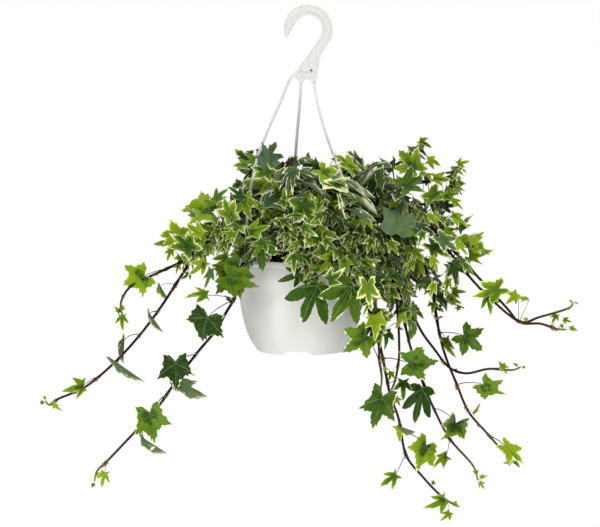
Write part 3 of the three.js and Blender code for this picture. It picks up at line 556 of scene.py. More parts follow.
# ---- Vines --------------------------------------------------------------------------------------
# Variegated English ivy: long woody vines rooted in the soil, dark purple where they are older and
# green at the tips, swollen at each leaf. Each trail has its `route` from the root to the tip, its
# `leaves` as (place on the route, stalk, size, turn, yaw, tilt, breadth) with a letter each in
# `looks`, and a `cover` of leaves by rule as (from, to, count, first size, last size).
ROOT_DEPTH = 34
VINE_THICKNESS = 2.0, 1.35
VINE_SIDES = 7
VINE_CUTS, CURVE_CUTS = 5, 40
VINE_TIP = {"from": 0.9, "width": 0.55}
NODE_SWELLING, NODE_REACH = 0.42, 3.0
TRAILS = {
    "trail_left_long": {
        "route": [(-38, -12, -34), (-43, -13, -4), (-74, -22, 24), (-103, -27, 22),
            (-123, -30, 12), (-147, -42, -23), (-170, -50, -58), (-196, -57, -92),
            (-225, -62, -123), (-259, -66, -151), (-291, -68, -165), (-301, -70, -172),
            (-306, -72, -167)],
        "leaves": [(5.2, (-18, -6, -1), 17, 0, 75, 0, 0.6), (6.1, (-10, -6, -1), 25, 11, 80, 0, 0.5),
            (6.9, (-20, 6, -7), 25, -21, 80, 0, 0.5), (7.75, (-3, -6, -6), 33, 44, 78, 0, 0.4),
            (8.6, (-16, -5, -9), 23, -80, 0, 45), (10.3, (-2, -3, -2), 16, 35, 40, 0)],
        "looks": "lwwwml",
        "cover": (1.6, 4.6, 3, 34, 24),
    },
    "trail_left_arched": {
        "route": [(-34, -32, -34), (-37, -35, -4), (-56, -55, 26), (-84, -61, 33),
            (-104, -62, 28), (-132, -72, 6), (-154, -80, -5), (-179, -88, -16), (-196, -92, -24),
            (-206, -95, -33), (-212, -97, -47), (-210, -98, -61)],
        "leaves": [(6.2, (-27, -8, -8), 30, -61, 0, 10, 1.1), (10.9, (0, -3, -2), 18, 0, 0, 15)],
        "looks": "Ml",
        "cover": (1.6, 5, 2, 34, 26),
    },
    "trail_left_high": {
        "route": [(-42, 10, -34), (-46, 10, -4), (-72, 10, 30), (-90, 9, 36), (-106, 10, 30),
            (-125, 14, 24), (-142, 18, 17), (-153, 20, 15)],
        "leaves": [(6.1, (-14, -5, 2), 28, -77, 0, 15), (7, (4, -3, 12), 14, -60, 0, 10)],
        "looks": "ml",
        "cover": (1.6, 6, 3, 34, 24),
    },
    "trail_left_front": {
        "route": [(-26, -42, -34), (-30, -46, -4), (-46, -63, 16), (-62, -80, 8), (-72, -92, -8),
            (-77, -106, -36), (-88, -112, -56), (-101, -114, -78), (-121, -112, -102),
            (-145, -108, -134), (-167, -104, -166), (-190, -99, -192), (-216, -95, -220),
            (-232, -92, -237), (-243, -90, -248), (-246, -90, -260)],
        "leaves": [(5.2, (-32, -8, 5), 27, -103, 50, 20), (5.3, (-29, -8, -19), 32, -22, 10, 0, 1.2),
            (8.1, (-23, -6, -9), 35, 5, 5, 10, 0.85), (8.8, (-8, -12, -10), 36, 35, 110, 0, 0.8),
            (9.6, (-19, -7, -22), 38, 16, 0, 8, 0.8), (10.9, (1, -8, -15), 30, 26, 75, 0, 0.5),
            (13, (-1, -5, -12), 20, -15, 15, 5), (4, (-3, -10, -1), 38, -51, 10, 10, 1.0)],
        "looks": "lDDwDwlO",
        "cover": (1.6, 4, 2, 34, 30),
    },
    "trail_front_left": {
        "route": [(-2, -42, -34), (-3, -45, -4), (-4, -64, 14), (-2, -84, 10), (4, -95, -3),
            (14, -101, -16), (18, -102, -26)],
        "leaves": [(5.3, (4, -5, -6), 50, -30, 5, 10), (4.5, (12, -12, 2), 22, -66, 0, 25),
            (3.4, (-2, -8, -17), 29, -68, 15, 10)],
        "looks": "fld",
        "cover": (1.6, 4, 2, 32, 26),
    },
    "trail_front_middle": {
        "route": [(16, -42, -34), (18, -46, -4), (24, -64, 16), (33, -80, 10), (44, -93, 0),
            (54, -100, -13), (58, -102, -22)],
        "leaves": [(5.4, (4, -2, -9), 49, -34, -5, 8), (4.3, (-15, -14, -13), 26, 120, 0, 30)],
        "looks": "fv",
        "cover": (1.6, 4, 2, 32, 26),
    },
    "trail_front_right": {
        "route": [(32, -34, -34), (35, -38, -4), (44, -56, 17), (54, -74, 14), (65, -88, 2),
            (74, -96, -12), (77, -98, -20)],
        "leaves": [(5.6, (1, -4, -6), 33, 3, 0, 5, 0.6)],
        "looks": "c",
        "cover": (1.6, 4.4, 2, 34, 28),
    },
    "trail_right_inner": {
        "route": [(26, -50, -34), (30, -53, -4), (42, -63, 12), (54, -70, 7), (62, -76, -10),
            (71, -92, -31), (79, -98, -52), (85, -96, -77), (91, -94, -95), (92, -94, -114),
            (95, -94, -136), (92, -95, -159)],
        "leaves": [(9.1, (-18, -8, 31), 33, -52, 0, 5, 0.98), (10.9, (3, -3, -2), 44, -20, 0, 5, 0.7)],
        "looks": "dd",
        "cover": (3.4, 8.4, 3, 30, 24),
    },
    "trail_right_longest": {
        "route": [(40, -40, -34), (44, -42, -4), (58, -50, 11), (71, -56, 4), (81, -70, -20),
            (87, -81, -50), (92, -80, -89), (97, -77, -115), (103, -74, -145), (107, -72, -163),
            (117, -69, -190), (126, -64, -234), (147, -60, -262), (168, -55, -285),
            (182, -52, -296), (192, -50, -301)],
        "leaves": [(7, (32, -6, -4), 37, 93, 0, 5, 0.8), (8, (19, 6, 1), 25, -2, 0, 10),
            (10.15, (0, -5, -1), 19, 39, 65, 0), (10.3, (29, -6, -18), 27, -36, 0, 35, 0.85),
            (11, (-13, -6, -23), 27, -57, 0, 0, 0.8), (13.1, (2, -5, -3), 24, -62, 0, 35, 0.75),
            (13.6, (3, -4, -15), 16, -43, 0, 15)],
        "looks": "DmlMvml",
        "cover": (3.4, 6.6, 2, 30, 26),
    },
    "trail_right_short": {
        "route": [(50, -24, -34), (54, -25, -4), (68, -25, 15), (85, -32, 11), (101, -42, -6),
            (112, -60, -34), (115, -66, -61), (117, -62, -96), (117, -57, -120),
            (112, -49, -150), (101, -44, -172)],
        "leaves": [(8.2, (-8, -6, -8), 13, -20, 0, 10), (9.4, (7, -6, -8), 12, 30, 0, 10)],
        "looks": "ll",
        "cover": (2.2, 7, 3, 34, 24),
    },
    "trail_right_middle": {
        "route": [(56, -12, -34), (60, -12, -4), (78, -13, 14), (95, -14, 10), (108, -22, -10),
            (120, -33, -45), (126, -36, -80), (135, -34, -115), (150, -28, -155),
            (163, -22, -186), (183, -16, -224), (212, -8, -258), (219, -6, -278)],
        "leaves": [(8, (-3, -7, -4), 48, -16, 0, 5, 0.56), (8.95, (26, -8, -18), 23, -31, 0, 40, 0.85),
            (10, (-5, -5, -21), 24, -57, 50, 0, 0.9), (11.8, (4, -3, -6), 11, 40, 0, 20)],
        "looks": "fMml",
        "cover": (2.2, 6.8, 3, 34, 26),
    },
    "trail_right_outer": {
        "route": [(58, 6, -34), (62, 6, -4), (82, 5, 16), (108, 3, 20), (130, -5, 10),
            (147, -16, -5), (158, -26, -34), (163, -31, -64), (169, -32, -96), (177, -32, -123),
            (189, -31, -152), (204, -30, -187), (226, -28, -213), (250, -25, -240),
            (268, -24, -257)],
        "leaves": [(7.75, (8, -6, -9), 28, 17, 50, 0), (7.8, (30, -8, -3), 32, 51, 0, 5, 1.0),
            (10.05, (33, -8, 1), 30, 55, 35, 0, 1.0), (10.9, (7, -4, -4), 15, 138, 60, 0),
            (12.2, (20, -6, -12), 34, 52, 0, 10, 0.5), (13.6, (-4, -3, 1), 11, -66, 0, 10)],
        "looks": "mdDlll",
        "cover": (2, 7, 3, 34, 26),
    },
    "trail_right_curled": {
        "route": [(54, 22, -34), (58, 22, -4), (78, 24, 16), (98, 25, 16), (113, 24, 4),
            (125, 14, -28), (134, 6, -62), (148, 0, -92), (164, -4, -114), (182, -8, -136),
            (203, -12, -143), (230, -15, -137), (258, -18, -138), (269, -18, -134)],
        "leaves": [(11.4, (5, -4, 6), 13, 20, 0, 10)],
        "looks": "l",
        "cover": (2.4, 6.4, 2, 32, 26),
    },
    "trail_right_behind": {
        "route": [(44, 38, -34), (48, 40, -4), (66, 44, 16), (90, 44, 14), (112, 41, -4),
            (135, 32, -27), (160, 24, -44), (182, 17, -57), (202, 12, -65)],
        "leaves": [(6.55, (16, -6, 7), 18, 96, 0, 25), (6.8, (8, 6, 1), 17, 57, 0, 15)],
        "looks": "ll",
        "cover": (2.2, 6, 3, 32, 26),
    },
    "trail_right_reaching": {
        "route": [(30, -18, -34), (33, -20, -4), (56, -28, 48), (90, -33, 68), (122, -37, 66),
            (149, -41, 50), (168, -48, 22), (192, -53, -8), (220, -57, -39), (260, -62, -72),
            (285, -62, -67), (318, -62, -57), (325, -62, -50)],
        "leaves": [(6.25, (6, -8, -20), 29, 22, 0, 5), (7.2, (5, -6, 22), 27, 101, 0, 60),
            (8, (4, 8, -4), 25, 17, 0, 5), (9, (-4, -6, 33), 19, -51, 0, 10),
            (9.05, (10, 6, 25), 14, -117, 70, 0)],
        "looks": "mlmll",
        "cover": (1.8, 5.8, 3, 36, 28),
    },
    "trail_right_forked": {
        "route": [(34, -2, -34), (38, -3, -4), (64, -5, 44), (100, -7, 62), (136, -8, 52),
            (165, -10, 31), (205, -20, -12), (247, -34, -57), (264, -42, -76), (288, -46, -77),
            (307, -48, -83), (319, -48, -84)],
        "leaves": [(9.8, (3, -4, 16), 13, -27, 0, 10), (10.7, (0, -4, 13), 11, 66, 0, 10)],
        "looks": "ll",
        "cover": (1.8, 5.6, 3, 36, 26),
    },
    "shoot_right_high": {
        "route": [(16, -12, -34), (18, -13, -4), (36, -15, 54), (66, -18, 78), (102, -20, 86),
            (141, -26, 92), (170, -30, 97), (186, -32, 104), (195, -34, 113)],
        "leaves": [(7, (3, -4, 11), 15, 113, 0, 30)],
        "looks": "l",
        "cover": (1.8, 6, 3, 34, 24),
    },
    "shoot_right_curled": {
        "route": [(20, 8, -34), (23, 8, -4), (46, 9, 50), (84, 10, 68), (122, 10, 66),
            (152, 10, 64), (175, 6, 71), (186, 4, 81), (189, 2, 97)],
        "leaves": [],
        "looks": "",
        "cover": (1.8, 6.6, 3, 34, 24),
    },
    "shoot_top": {
        "route": [(10, 4, -34), (12, 4, -4), (34, 4, 60), (72, 2, 100), (112, -2, 112),
            (138, -4, 124), (145, -4, 140)],
        "leaves": [(6, (0, -2, 2), 14, 60, 0, 40)],
        "looks": "l",
        "cover": (1.8, 5.6, 3, 34, 22),
    },
    "trail_back_right": {
        "route": [(12, 46, -34), (13, 50, -4), (16, 68, 16), (20, 88, 8), (24, 100, -18),
            (28, 104, -50), (30, 104, -78)],
        "leaves": [],
        "looks": "",
        "cover": (1.8, 6, 3, 34, 22),
    },
    "trail_back_left": {
        "route": [(-24, 40, -34), (-26, 44, -4), (-36, 62, 16), (-46, 80, 8), (-54, 92, -16),
            (-60, 98, -44), (-64, 98, -66)],
        "leaves": [],
        "looks": "",
        "cover": (1.8, 6, 3, 34, 22),
    },
}
CROWN_VINES = 20
CROWN_REACH = {"right": 172, "left": 108, "across": 84}
CROWN_TIERS = [
    {"reach": 0.98, "apex": 58, "end": -8, "sizes": (36, 27)},
    {"reach": 0.72, "apex": 86, "end": 44, "sizes": (38, 30)},
    {"reach": 0.42, "apex": 104, "end": 88, "sizes": (36, 30)},
]
CROWN_SPREAD = 1.7, 4.8, 3
CROWN_ROOTS = {"nearest": 12, "spread": 44, "to_end": 14}
CROWN_TURN, CROWN_SWAY, GOLDEN_ANGLE = 26, 26, 137.508
TRIES = 60
STEM_RADII, ON_STEM = (1.6, 1.0), 1.3


def draw(vine, leaf, attempt, choice):
    """A repeatable random number from 0 to 1 for one choice of one try of one leaf or vine."""
    h = (vine + 1) * 73856093 ^ (leaf + 1) * 19349663
    h ^= (attempt + 1) * 83492791 ^ (choice + 1) * 40503
    h = ((h & 0xFFFFFFFF ^ (h & 0xFFFFFFFF) >> 16) * 0x7FEB352D) & 0xFFFFFFFF
    h = ((h ^ h >> 15) * 0x846CA68B) & 0xFFFFFFFF
    return (h ^ h >> 16) / 4294967296


def crown_route(number, attempt):
    """A vine that rises from the soil and arches out over the rim, in golden-angle order."""
    pick = [draw(number, 90, attempt, choice) for choice in range(5)]
    azimuth = math.radians(GOLDEN_ANGLE * number + CROWN_TURN * (pick[0] - 0.5))
    out = Vector((math.cos(azimuth), math.sin(azimuth), 0))
    aside = Vector((-out.y, out.x, 0))
    sideways = CROWN_REACH["right"] if out.x > 0 else CROWN_REACH["left"]
    full = 1 / math.hypot(out.x / sideways, out.y / CROWN_REACH["across"])
    tier = CROWN_TIERS[number % 3]
    start = CROWN_ROOTS["nearest"] + CROWN_ROOTS["spread"] * math.sqrt(pick[1])
    reach = max(full * tier["reach"] * mixed(0.86, 1.1, pick[2]), start + CROWN_ROOTS["to_end"])
    apex = tier["apex"] * mixed(0.88, 1.12, pick[3])
    sway = CROWN_SWAY * (pick[4] - 0.5)
    rows = [(0, -ROOT_DEPTH, 0), (0.03, -4, 0), (0.22, apex * 0.66, 0.3), (0.48, apex, 0.8),
            (0.76, mixed(apex, tier["end"], 0.4), 1), (1, tier["end"], 0.7)]
    return [out * mixed(start, reach, share) + aside * (sway * swing) + Vector((0, 0, height))
            for share, height, swing in rows]


def on_span(points, at):
    """The point at a place on a route: its whole part counts the points, the rest goes on from there."""
    k = min(int(at), len(points) - 2)
    return points[k].lerp(points[k + 1], at - k)


def on_curve(points, at):
    """The same on the smooth line that the stem follows."""
    k = min(int(at), len(points) - 2)
    curve = through(points[max(k - 1, 0): k + 3], CURVE_CUTS)
    return curve[min(k, 1) * CURVE_CUTS + round((at - k) * CURVE_CUTS)]


class Vine:
    """A vine's route and leaves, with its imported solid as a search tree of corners."""

    def __init__(self, name, number, points, cover, leaves=(), looks=""):
        self.name, self.number, self.points = name, number, points
        self.cover, self.leaves, self.looks = cover, leaves, looks
        self.corners = corner_tree(name)
        self.grown = []


def corner_tree(name):
    """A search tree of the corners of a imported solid, in millimetres round the rim's middle."""
    corners = [vert.co * 1000 - RIM_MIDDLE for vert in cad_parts[name].data.vertices]
    tree = kdtree.KDTree(len(corners))
    for i, corner in enumerate(corners):
        tree.insert(corner, i)
    tree.balance()
    return tree


def packed_route(number, name):
    """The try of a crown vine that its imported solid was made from."""
    tree = corner_tree(name)
    for attempt in range(TRIES):
        points = crown_route(number, attempt)
        reaches = [ON_STEM * mixed(*STEM_RADII, i / (len(points) - 1)) for i in range(len(points))]
        if all(tree.find(point)[2] < reach for point, reach in zip(points, reaches)):
            return points
    raise ValueError(name + " follows no route of the rule")


vines = []
for number, (name, trail) in enumerate(TRAILS.items()):
    points = [Vector(point) for point in trail["route"]]
    vines.append(Vine(name, number, points, trail["cover"], trail["leaves"], trail["looks"]))
for i in range(CROWN_VINES):
    name, number = "crown_stem_%d" % (i + 1), len(vines)
    cover = (*CROWN_SPREAD, *CROWN_TIERS[number % 3]["sizes"])
    vines.append(Vine(name, number, packed_route(number, name), cover))

# ---- Leaves -------------------------------------------------------------------------------------
# Ivy blades of five pointed lobes on thin arching stalks. Old ones are dark with pale veins, young
# ones lime with cream margins, and the large ones toothed. All are cut from a few flat patterns,
# which are bent to each leaf's droop and fold.
LOBES = [(-128, 0.46), (-62, 0.8), (0, 1), (62, 0.8), (128, 0.46)]
# half of each edge, from the tip round to the stalk: degrees from the midrib, reach, and 1 on a
# lobe down to 0 between two
EDGES = {
    "plain": [
        (0, 1, 1), (7, 0.8, 0.8), (15, 0.6, 0.4), (29, 0.38, 0), (40, 0.53, 0.4), (51, 0.74, 1),
        (67, 0.46, 0.6), (90, 0.3, 0), (118, 0.42, 1), (180, 0.06, 0),
    ],
    "toothed": [
        (0, 1, 1), (5, 0.81, 0.9), (10, 0.8, 0.8), (13, 0.65, 0.6), (19, 0.64, 0.3),
        (29, 0.43, 0), (37, 0.58, 0.3), (41, 0.57, 0.6), (47, 0.72, 0.8), (52, 0.72, 0.8),
        (58, 0.9, 1), (65, 0.7, 0.8), (71, 0.69, 0.5), (76, 0.52, 0.2), (90, 0.4, 0),
        (100, 0.5, 0.3), (105, 0.46, 0.5), (123, 0.58, 1), (142, 0.36, 0.4), (180, 0.06, 0),
    ],
    "fingered": [
        (0, 1, 1), (7, 0.85, 0.8), (15, 0.66, 0.4), (23, 0.48, 0), (31, 0.63, 0.4),
        (39, 0.84, 0.8), (46, 0.96, 1), (54, 0.8, 0.8), (62, 0.6, 0.4), (70, 0.42, 0),
        (80, 0.53, 0.5), (89, 0.7, 1), (104, 0.44, 0.6), (124, 0.22, 0.3), (180, 0.05, 0),
    ],
    "clawed": [
        (0, 1, 1), (4, 0.8, 0.8), (8, 0.58, 0.4), (12, 0.4, 0), (17, 0.58, 0.4), (21, 0.78, 0.8),
        (25, 0.94, 1), (30, 0.74, 0.8), (37, 0.5, 0.4), (44, 0.33, 0), (51, 0.5, 0.5),
        (58, 0.68, 1), (74, 0.38, 0.6), (96, 0.15, 0.3), (180, 0.05, 0),
    ],
    "fanned": [
        (0, 1, 1), (7, 0.84, 0.8), (17, 0.74, 0.4), (26, 0.69, 0.2), (37, 0.8, 0.6), (47, 1, 1),
        (56, 0.8, 0.7), (66, 0.66, 0.3), (76, 0.68, 0.6), (86, 0.8, 1), (100, 0.5, 0.6),
        (125, 0.28, 0.3), (180, 0.05, 0),
    ],
}
SINUS_ANGLES = {12, 23, 29, 44, 70, 90}
LOBINGS = [0.8, 0.95, 1.1, 1.35]
BLADE_THICKNESS, BLADE_EDGE = 0.016, 0.45
CHANNEL, CHANNEL_REACH = 0.2, 0.5
FOLDS, WAVES, CURLS, ROLLS = (-0.06, 0.3), (0.03, 0.06), (-0.2, 0.2), (-0.6, 0.7)
TOOTHED_FROM = 29
STALK_THICKNESS, STALK_CUTS, STALK_SIDES = (0.66, 0.42), 3, 5
# age from lime to dark, how far the cream margin reaches in, how grey the middle is
LOOKS = {
    "l": (0.1, 0.2, 0), "m": (0.4, 0.14, 0), "d": (0.62, 0.09, 0.08), "g": (0.6, 0, 1),
    "c": (0.25, 0.5, 0.1), "o": (0.54, 0, 0), "v": (0.34, 0.25, 0.05), "w": (0.6, 0.27, 0.5),
    "f": (0.7, 0.04, 0.05), "p": (0.3, 1, 0.1),
}
USUAL_LOOKS, SINGLE_LOOKS = "vlvdlvmwvd", "cgp"
LOOK_REACH = 45
USUAL_BREADTH = 0.85
BENT = {"shown": 1.2, "edge on": 2.2, "in the crown": 1.7, "flat": 0.8, "small": 2.7, "bud": 2.0}
EDGE_ON = {"yaw": 60, "tilt": 30, "longer": 1.25, "droop": 2}
FIRST_TRY_SLOT, UNRULY, TRY_STEP = 40, 1.1, 3
TIP_FOUND, TIPS_FOUND = 0.1, 7
SMALL_LEAVES = {
    "crown": {"count": 60, "before": 0.7, "past": 0.2},
    "trail": {"count": 28, "before": 0, "past": 1.2},
    "sizes": (24, 12), "slot": 100, "tries": 5, "unruly": 2.4,
}
LEAF_MIDDLE = 0.4
FORWARD, MOST_FORWARD, FOREMOST = 7, 42, -112
VINE_BEHIND, STALK_DETOUR = 12, 60
ROOTLETS = {"count": 20, "length": (1.0, 3.0), "root": 0.85, "end": 0.35, "spread": 3.6,
            "every": 3.0, "first": 2.3, "tip_free": 0.8}
BUD_SIZES, BUD_SLOT = (4, 8), 300


class Leaf:
    """Where a leaf's stalk starts, and its blade's place, directions, size and shape."""

    def __init__(self, root, base, midrib, normal, size, lobing, droop, look, edge=None, breadth=1.0):
        self.root, self.base, self.midrib, self.normal = root, base, midrib, normal
        self.size, self.lobing, self.droop, self.look = size, lobing, droop, look.lower()
        self.edge = edge or ("toothed" if size > TOOTHED_FROM else "plain")
        self.breadth, self.bent = breadth, 1.0
        if look == "f":
            self.edge = "fingered"
        elif look == "w" and breadth < 0.4:
            self.edge, self.breadth = "clawed", breadth * 1.9
        elif look.isupper():
            self.edge, self.lobing = "fanned" if look == "G" else "toothed", LOBINGS[-1]

    def tips(self):
        """The corners that the leaf's plain solid has at the tips of its lobes."""
        side = self.midrib.cross(self.normal)
        for degrees, reach in LOBES:
            angle, length = math.radians(degrees), reach * self.size
            middle = (self.base + self.midrib * (length * math.cos(angle))
                      + side * (length * math.sin(angle)) - self.normal * (self.droop * reach * length))
            yield middle + self.normal * BLADE_EDGE
            yield middle - self.normal * BLADE_EDGE


# Leaves that the photograph's crown shows one by one, each on the nearest vine: the place of the
# blade, its size, its turn from straight down towards +X, how it faces, its look and its breadth.
# A capital letter, here as in a trail's looks, is a broad leaf with shallow lobes.
CROWN_LEAVES = [
    ((-109, -45, 58), 43, -108, (0.1, -0.7, 0.6), "M", 0.95),
    ((-54, -10, 115), 23, -146, (0.2, -1, 0.4), "d", 0.9),
    ((-67, -15, 112), 18, -99, (0, -1, 0.5), "d", 0.9),
    ((-39, -12, 109), 38, -178, (0.1, -1, 0.25), "g", 0.55),
    ((-40, -30, 104), 30, -122, (0, -1, 0.6), "v", 0.7),
    ((-30, -25, 98), 56, 127, (-0.2, -0.7, 0.9), "w", 0.34),
    ((-46, -45, 66), 60, 128, (-0.2, -0.8, 0.8), "w", 0.32),
    ((2, -15, 122), 23, 113, (0, -0.5, 1), "d", 0.5),
    ((-102, -35, 72), 25, 140, (-0.2, -1, 0.4), "w", 0.75),
    ((-81, -35, 69), 26, 152, (0.2, -1, 0.3), "w", 0.75), ((-60, -75, 37), 27, 103, (0, -1, 0.3), "m", 0.9),
    ((-80, -72, 34), 17, -107, (0, -1, 0.5), "l", 1), ((-21, -60, 73), 21, 47, (0.1, -1, 0.5), "l", 0.9),
    ((-47, -50, 63), 19, -152, (0, -1, 0.4), "m", 0.7), ((38, -42, 84), 62, 98, (-0.1, -0.6, 1), "w", 0.34),
    ((106, -15, 111), 46, -114, (0.1, -0.6, 1), "w", 0.34),
    ((114, -66, 35), 39, 168, (0.1, -1, 0.3), "G", 0.86), ((96, -20, 94), 20, 174, (0, -1, 0.2), "d", 0.9),
    ((135, -22, 109), 35, -141, (0.1, -1, 0.4), "m", 0.9),
    ((154, -10, 119), 20, 79, (0.3, -1, 0.3), "l", 0.9), ((159, -20, 98), 25, 81, (0.3, -1, 0.3), "v", 0.8),
    ((149, -35, 75), 23, 97, (0, -0.4, 1), "v", 0.8), ((122, -38, 89), 33, 119, (0.2, -1, 0.5), "d", 0.85),
    ((168, -20, 65), 25, 88, (0.3, -1, 0.4), "d", 0.8), ((158, -35, 55), 18, 29, (0.3, -1, 0.2), "l", 0.9),
    ((171, -38, 36), 22, 63, (0.3, -1, 0.2), "l", 0.9), ((137, -60, 43), 29, 60, (0.1, -1, 0.5), "w", 0.5),
    ((134, -70, 13), 19, 47, (0.1, -1, 0.2), "l", 1), ((181, -45, -3), 29, 10, (0.3, -1, 0.1), "d", 0.9),
    ((49, -85, 6), 21, 23, (0, -1, 0.2), "m", 0.9), ((-22, -70, 51), 18, 45, (0, -1, 0.4), "v", 0.9),
    ((2, -72, 43), 21, 43, (0.1, -1, 0.3), "v", 0.9), ((23, -66, 57), 18, -43, (-0.1, -1, 0.4), "v", 0.9),
    ((-5, -82, 23), 17, -54, (0, -1, 0.3), "v", 0.9), ((28, -82, 27), 19, 51, (0, -1, 0.3), "v", 0.9),
    ((74, -68, 51), 18, 41, (0.1, -1, 0.5), "l", 0.9), ((57, -78, 31), 18, -38, (0, -1, 0.3), "v", 0.9),
    ((83, -78, 27), 19, -21, (0, -1, 0.3), "v", 0.9), ((105, -72, 23), 20, 37, (0.1, -1, 0.2), "m", 0.9),
    ((-44, -80, 27), 24, -24, (0, -1, 0.2), "d", 0.9), ((-90, -62, 18), 18, -61, (-0.2, -1, 0.3), "v", 0.9),
    ((-116, -45, 29), 19, -54, (-0.2, -1, 0.3), "l", 0.9),
    ((-2, -30, 104), 39, 105, (0.1, -0.4, 1), "w", 0.34), ((2, -38, 95), 33, 112, (0.1, -0.5, 1), "w", 0.3),
    ((52, -55, 65), 42, 115, (0.1, -0.5, 1), "w", 0.34),
    ((105, -18, 112), 41, -106, (-0.1, -0.5, 1), "w", 0.3),
    ((59, -30, 112), 35, -140, (-0.1, -1, 0.4), "v", 0.42),
    ((93, -30, 91), 28, 172, (0, -1, 0.3), "d", 0.55), ((34, -45, 98), 54, 106, (0, -0.4, 1), "w", 0.3),
    ((65, -52, 74), 29, -78, (0, -0.6, 1), "w", 0.36), ((-2, -58, 55), 24, -124, (0, -0.6, 1), "v", 0.6),
    ((20, -40, 65), 29, 171, (0, -1, 0.4), "m", 0.5), ((-20, -35, 76), 26, 161, (0, -1, 0.4), "m", 0.5),
    ((-70, -35, 75), 27, -137, (0, -1, 0.4), "d", 0.6),
    ((-83, -40, 55), 30, -152, (-0.2, -1, 0.3), "v", 0.7),
    ((-145, -62, 30), 34, -105, (-0.2, -1, 0.5), "l", 0.8),
    ((-131, -58, 17), 36, -139, (-0.1, -1, 0.4), "v", 0.7),
    ((-118, -50, 34), 26, -125, (0, -1, 0.5), "l", 0.8),
    ((-84, -88, -14), 37, 62, (-0.1, -1, 0.2), "O", 0.8),
    ((-113, -80, 1), 26, -45, (-0.2, -1, 0.3), "m", 0.8),
    ((193, -62, 18), 38, 82, (0.1, -0.7, 1), "M", 0.7), ((187, -40, 39), 28, 146, (0.2, -1, 0.3), "l", 0.6),
    ((179, -42, 55), 27, 61, (0.2, -1, 0.4), "v", 0.7), ((155, -40, 75), 32, 124, (0, -1, 0.5), "v", 0.6),
    ((172, -36, 76), 24, 109, (0.2, -1, 0.4), "m", 0.7), ((154, -52, 20), 32, 47, (0.1, -1, 0.3), "v", 0.6),
    ((164, -50, 29), 30, 48, (0.1, -1, 0.3), "w", 0.6), ((154, -60, 6), 22, 19, (0.1, -1, 0.3), "l", 0.6),
    ((144, -62, 35), 19, -29, (0, -1, 0.4), "v", 0.7), ((184, -50, 24), 19, 27, (0.2, -1, 0.3), "l", 0.7),
    ((174, -50, -21), 22, -18, (0.1, -1, 0.2), "v", 0.6),
    ((-105, -85, -6), 27, -10, (-0.2, -1, 0.1), "w", 0.5),
    ((-152, -62, 16), 17, -23, (-0.2, -1, 0.3), "l", 0.8),
    ((-89, -70, 26), 19, -30, (0, -1, 0.4), "v", 0.8), ((181, -40, 72), 18, 45, (0.2, -1, 0.4), "l", 0.7),
    ((166, -50, 51), 18, 63, (0.1, -1, 0.4), "c", 0.7), ((151, -60, 56), 19, 30, (0.1, -1, 0.3), "l", 0.6),
    ((202, -50, 29), 19, 24, (0.2, -1, 0.2), "l", 0.7), ((131, -70, 0), 19, -29, (0, -1, 0.3), "l", 0.7),
    ((156, -60, -25), 22, -24, (0.1, -1, 0.2), "c", 0.6),
    ((193, -50, -2), 20, 30, (0.2, -1, 0.3), "v", 0.6),
    ((-126, -45, 55), 18, -142, (-0.1, -1, 0.4), "w", 0.6),
    ((80, -100, -42), 22, -26, (0, -1, 0.1), "c", 0.6), ((233, -66, -32), 34, -62, (0, -1, 0.4), "l", 0.7),
    ((37, -50, 92), 38, 84, (0, -1, 0.7), "p", 0.45), ((44, -62, 78), 28, 8, (0.2, -1, 0.3), "p", 0.22),
]


def look_at(base, luck):
    """The look of the nearest leaf of the list above, or one of the crown's usual ones."""
    if luck[0] < 0.5:
        apart, look = min(((Vector(leaf[0]) - base).xz.length, leaf[4].lower())
                          for leaf in CROWN_LEAVES)
        if apart < LOOK_REACH and look not in SINGLE_LOOKS:
            return look
    return USUAL_LOOKS[int(luck[1] * len(USUAL_LOOKS))]


def hanging(turn):
    """The direction straight down, turned towards +X by some degrees."""
    return Vector((math.sin(math.radians(turn)), 0, -math.cos(math.radians(turn))))


def shown_leaf(vine, leaf, attempt):
    """A leaf of a trail's list, moved to the front or back of its place by the later tries."""
    at, stalk, size, turn, yaw, tilt, *breadth = vine.leaves[leaf]
    root = on_span(vine.points, at)
    moved = -(-attempt // 2) * (-TRY_STEP if attempt % 2 else TRY_STEP)
    base = root + Vector(stalk) + Vector((0, moved, 0))
    down, face = hanging(turn), Vector((0, -1, 0))
    cos, sin = math.cos(math.radians(tilt)), math.sin(math.radians(tilt))
    midrib = down * cos + face * sin
    normal = Matrix.Rotation(math.radians(yaw), 3, midrib) @ (face * cos - down * sin)
    lobing = mixed(0.75, 1.15, draw(vine.number, leaf, 0, 7))
    droop = mixed(0.1, 0.3, draw(vine.number, leaf, 0, 8))
    shown = Leaf(root, base, midrib, normal, size, lobing, droop, vine.looks[leaf], None,
                 *(breadth or [USUAL_BREADTH]))
    edge_on = abs(yaw) > EDGE_ON["yaw"] or tilt > EDGE_ON["tilt"]
    shown.bent = BENT["edge on" if edge_on else "shown"]
    return shown


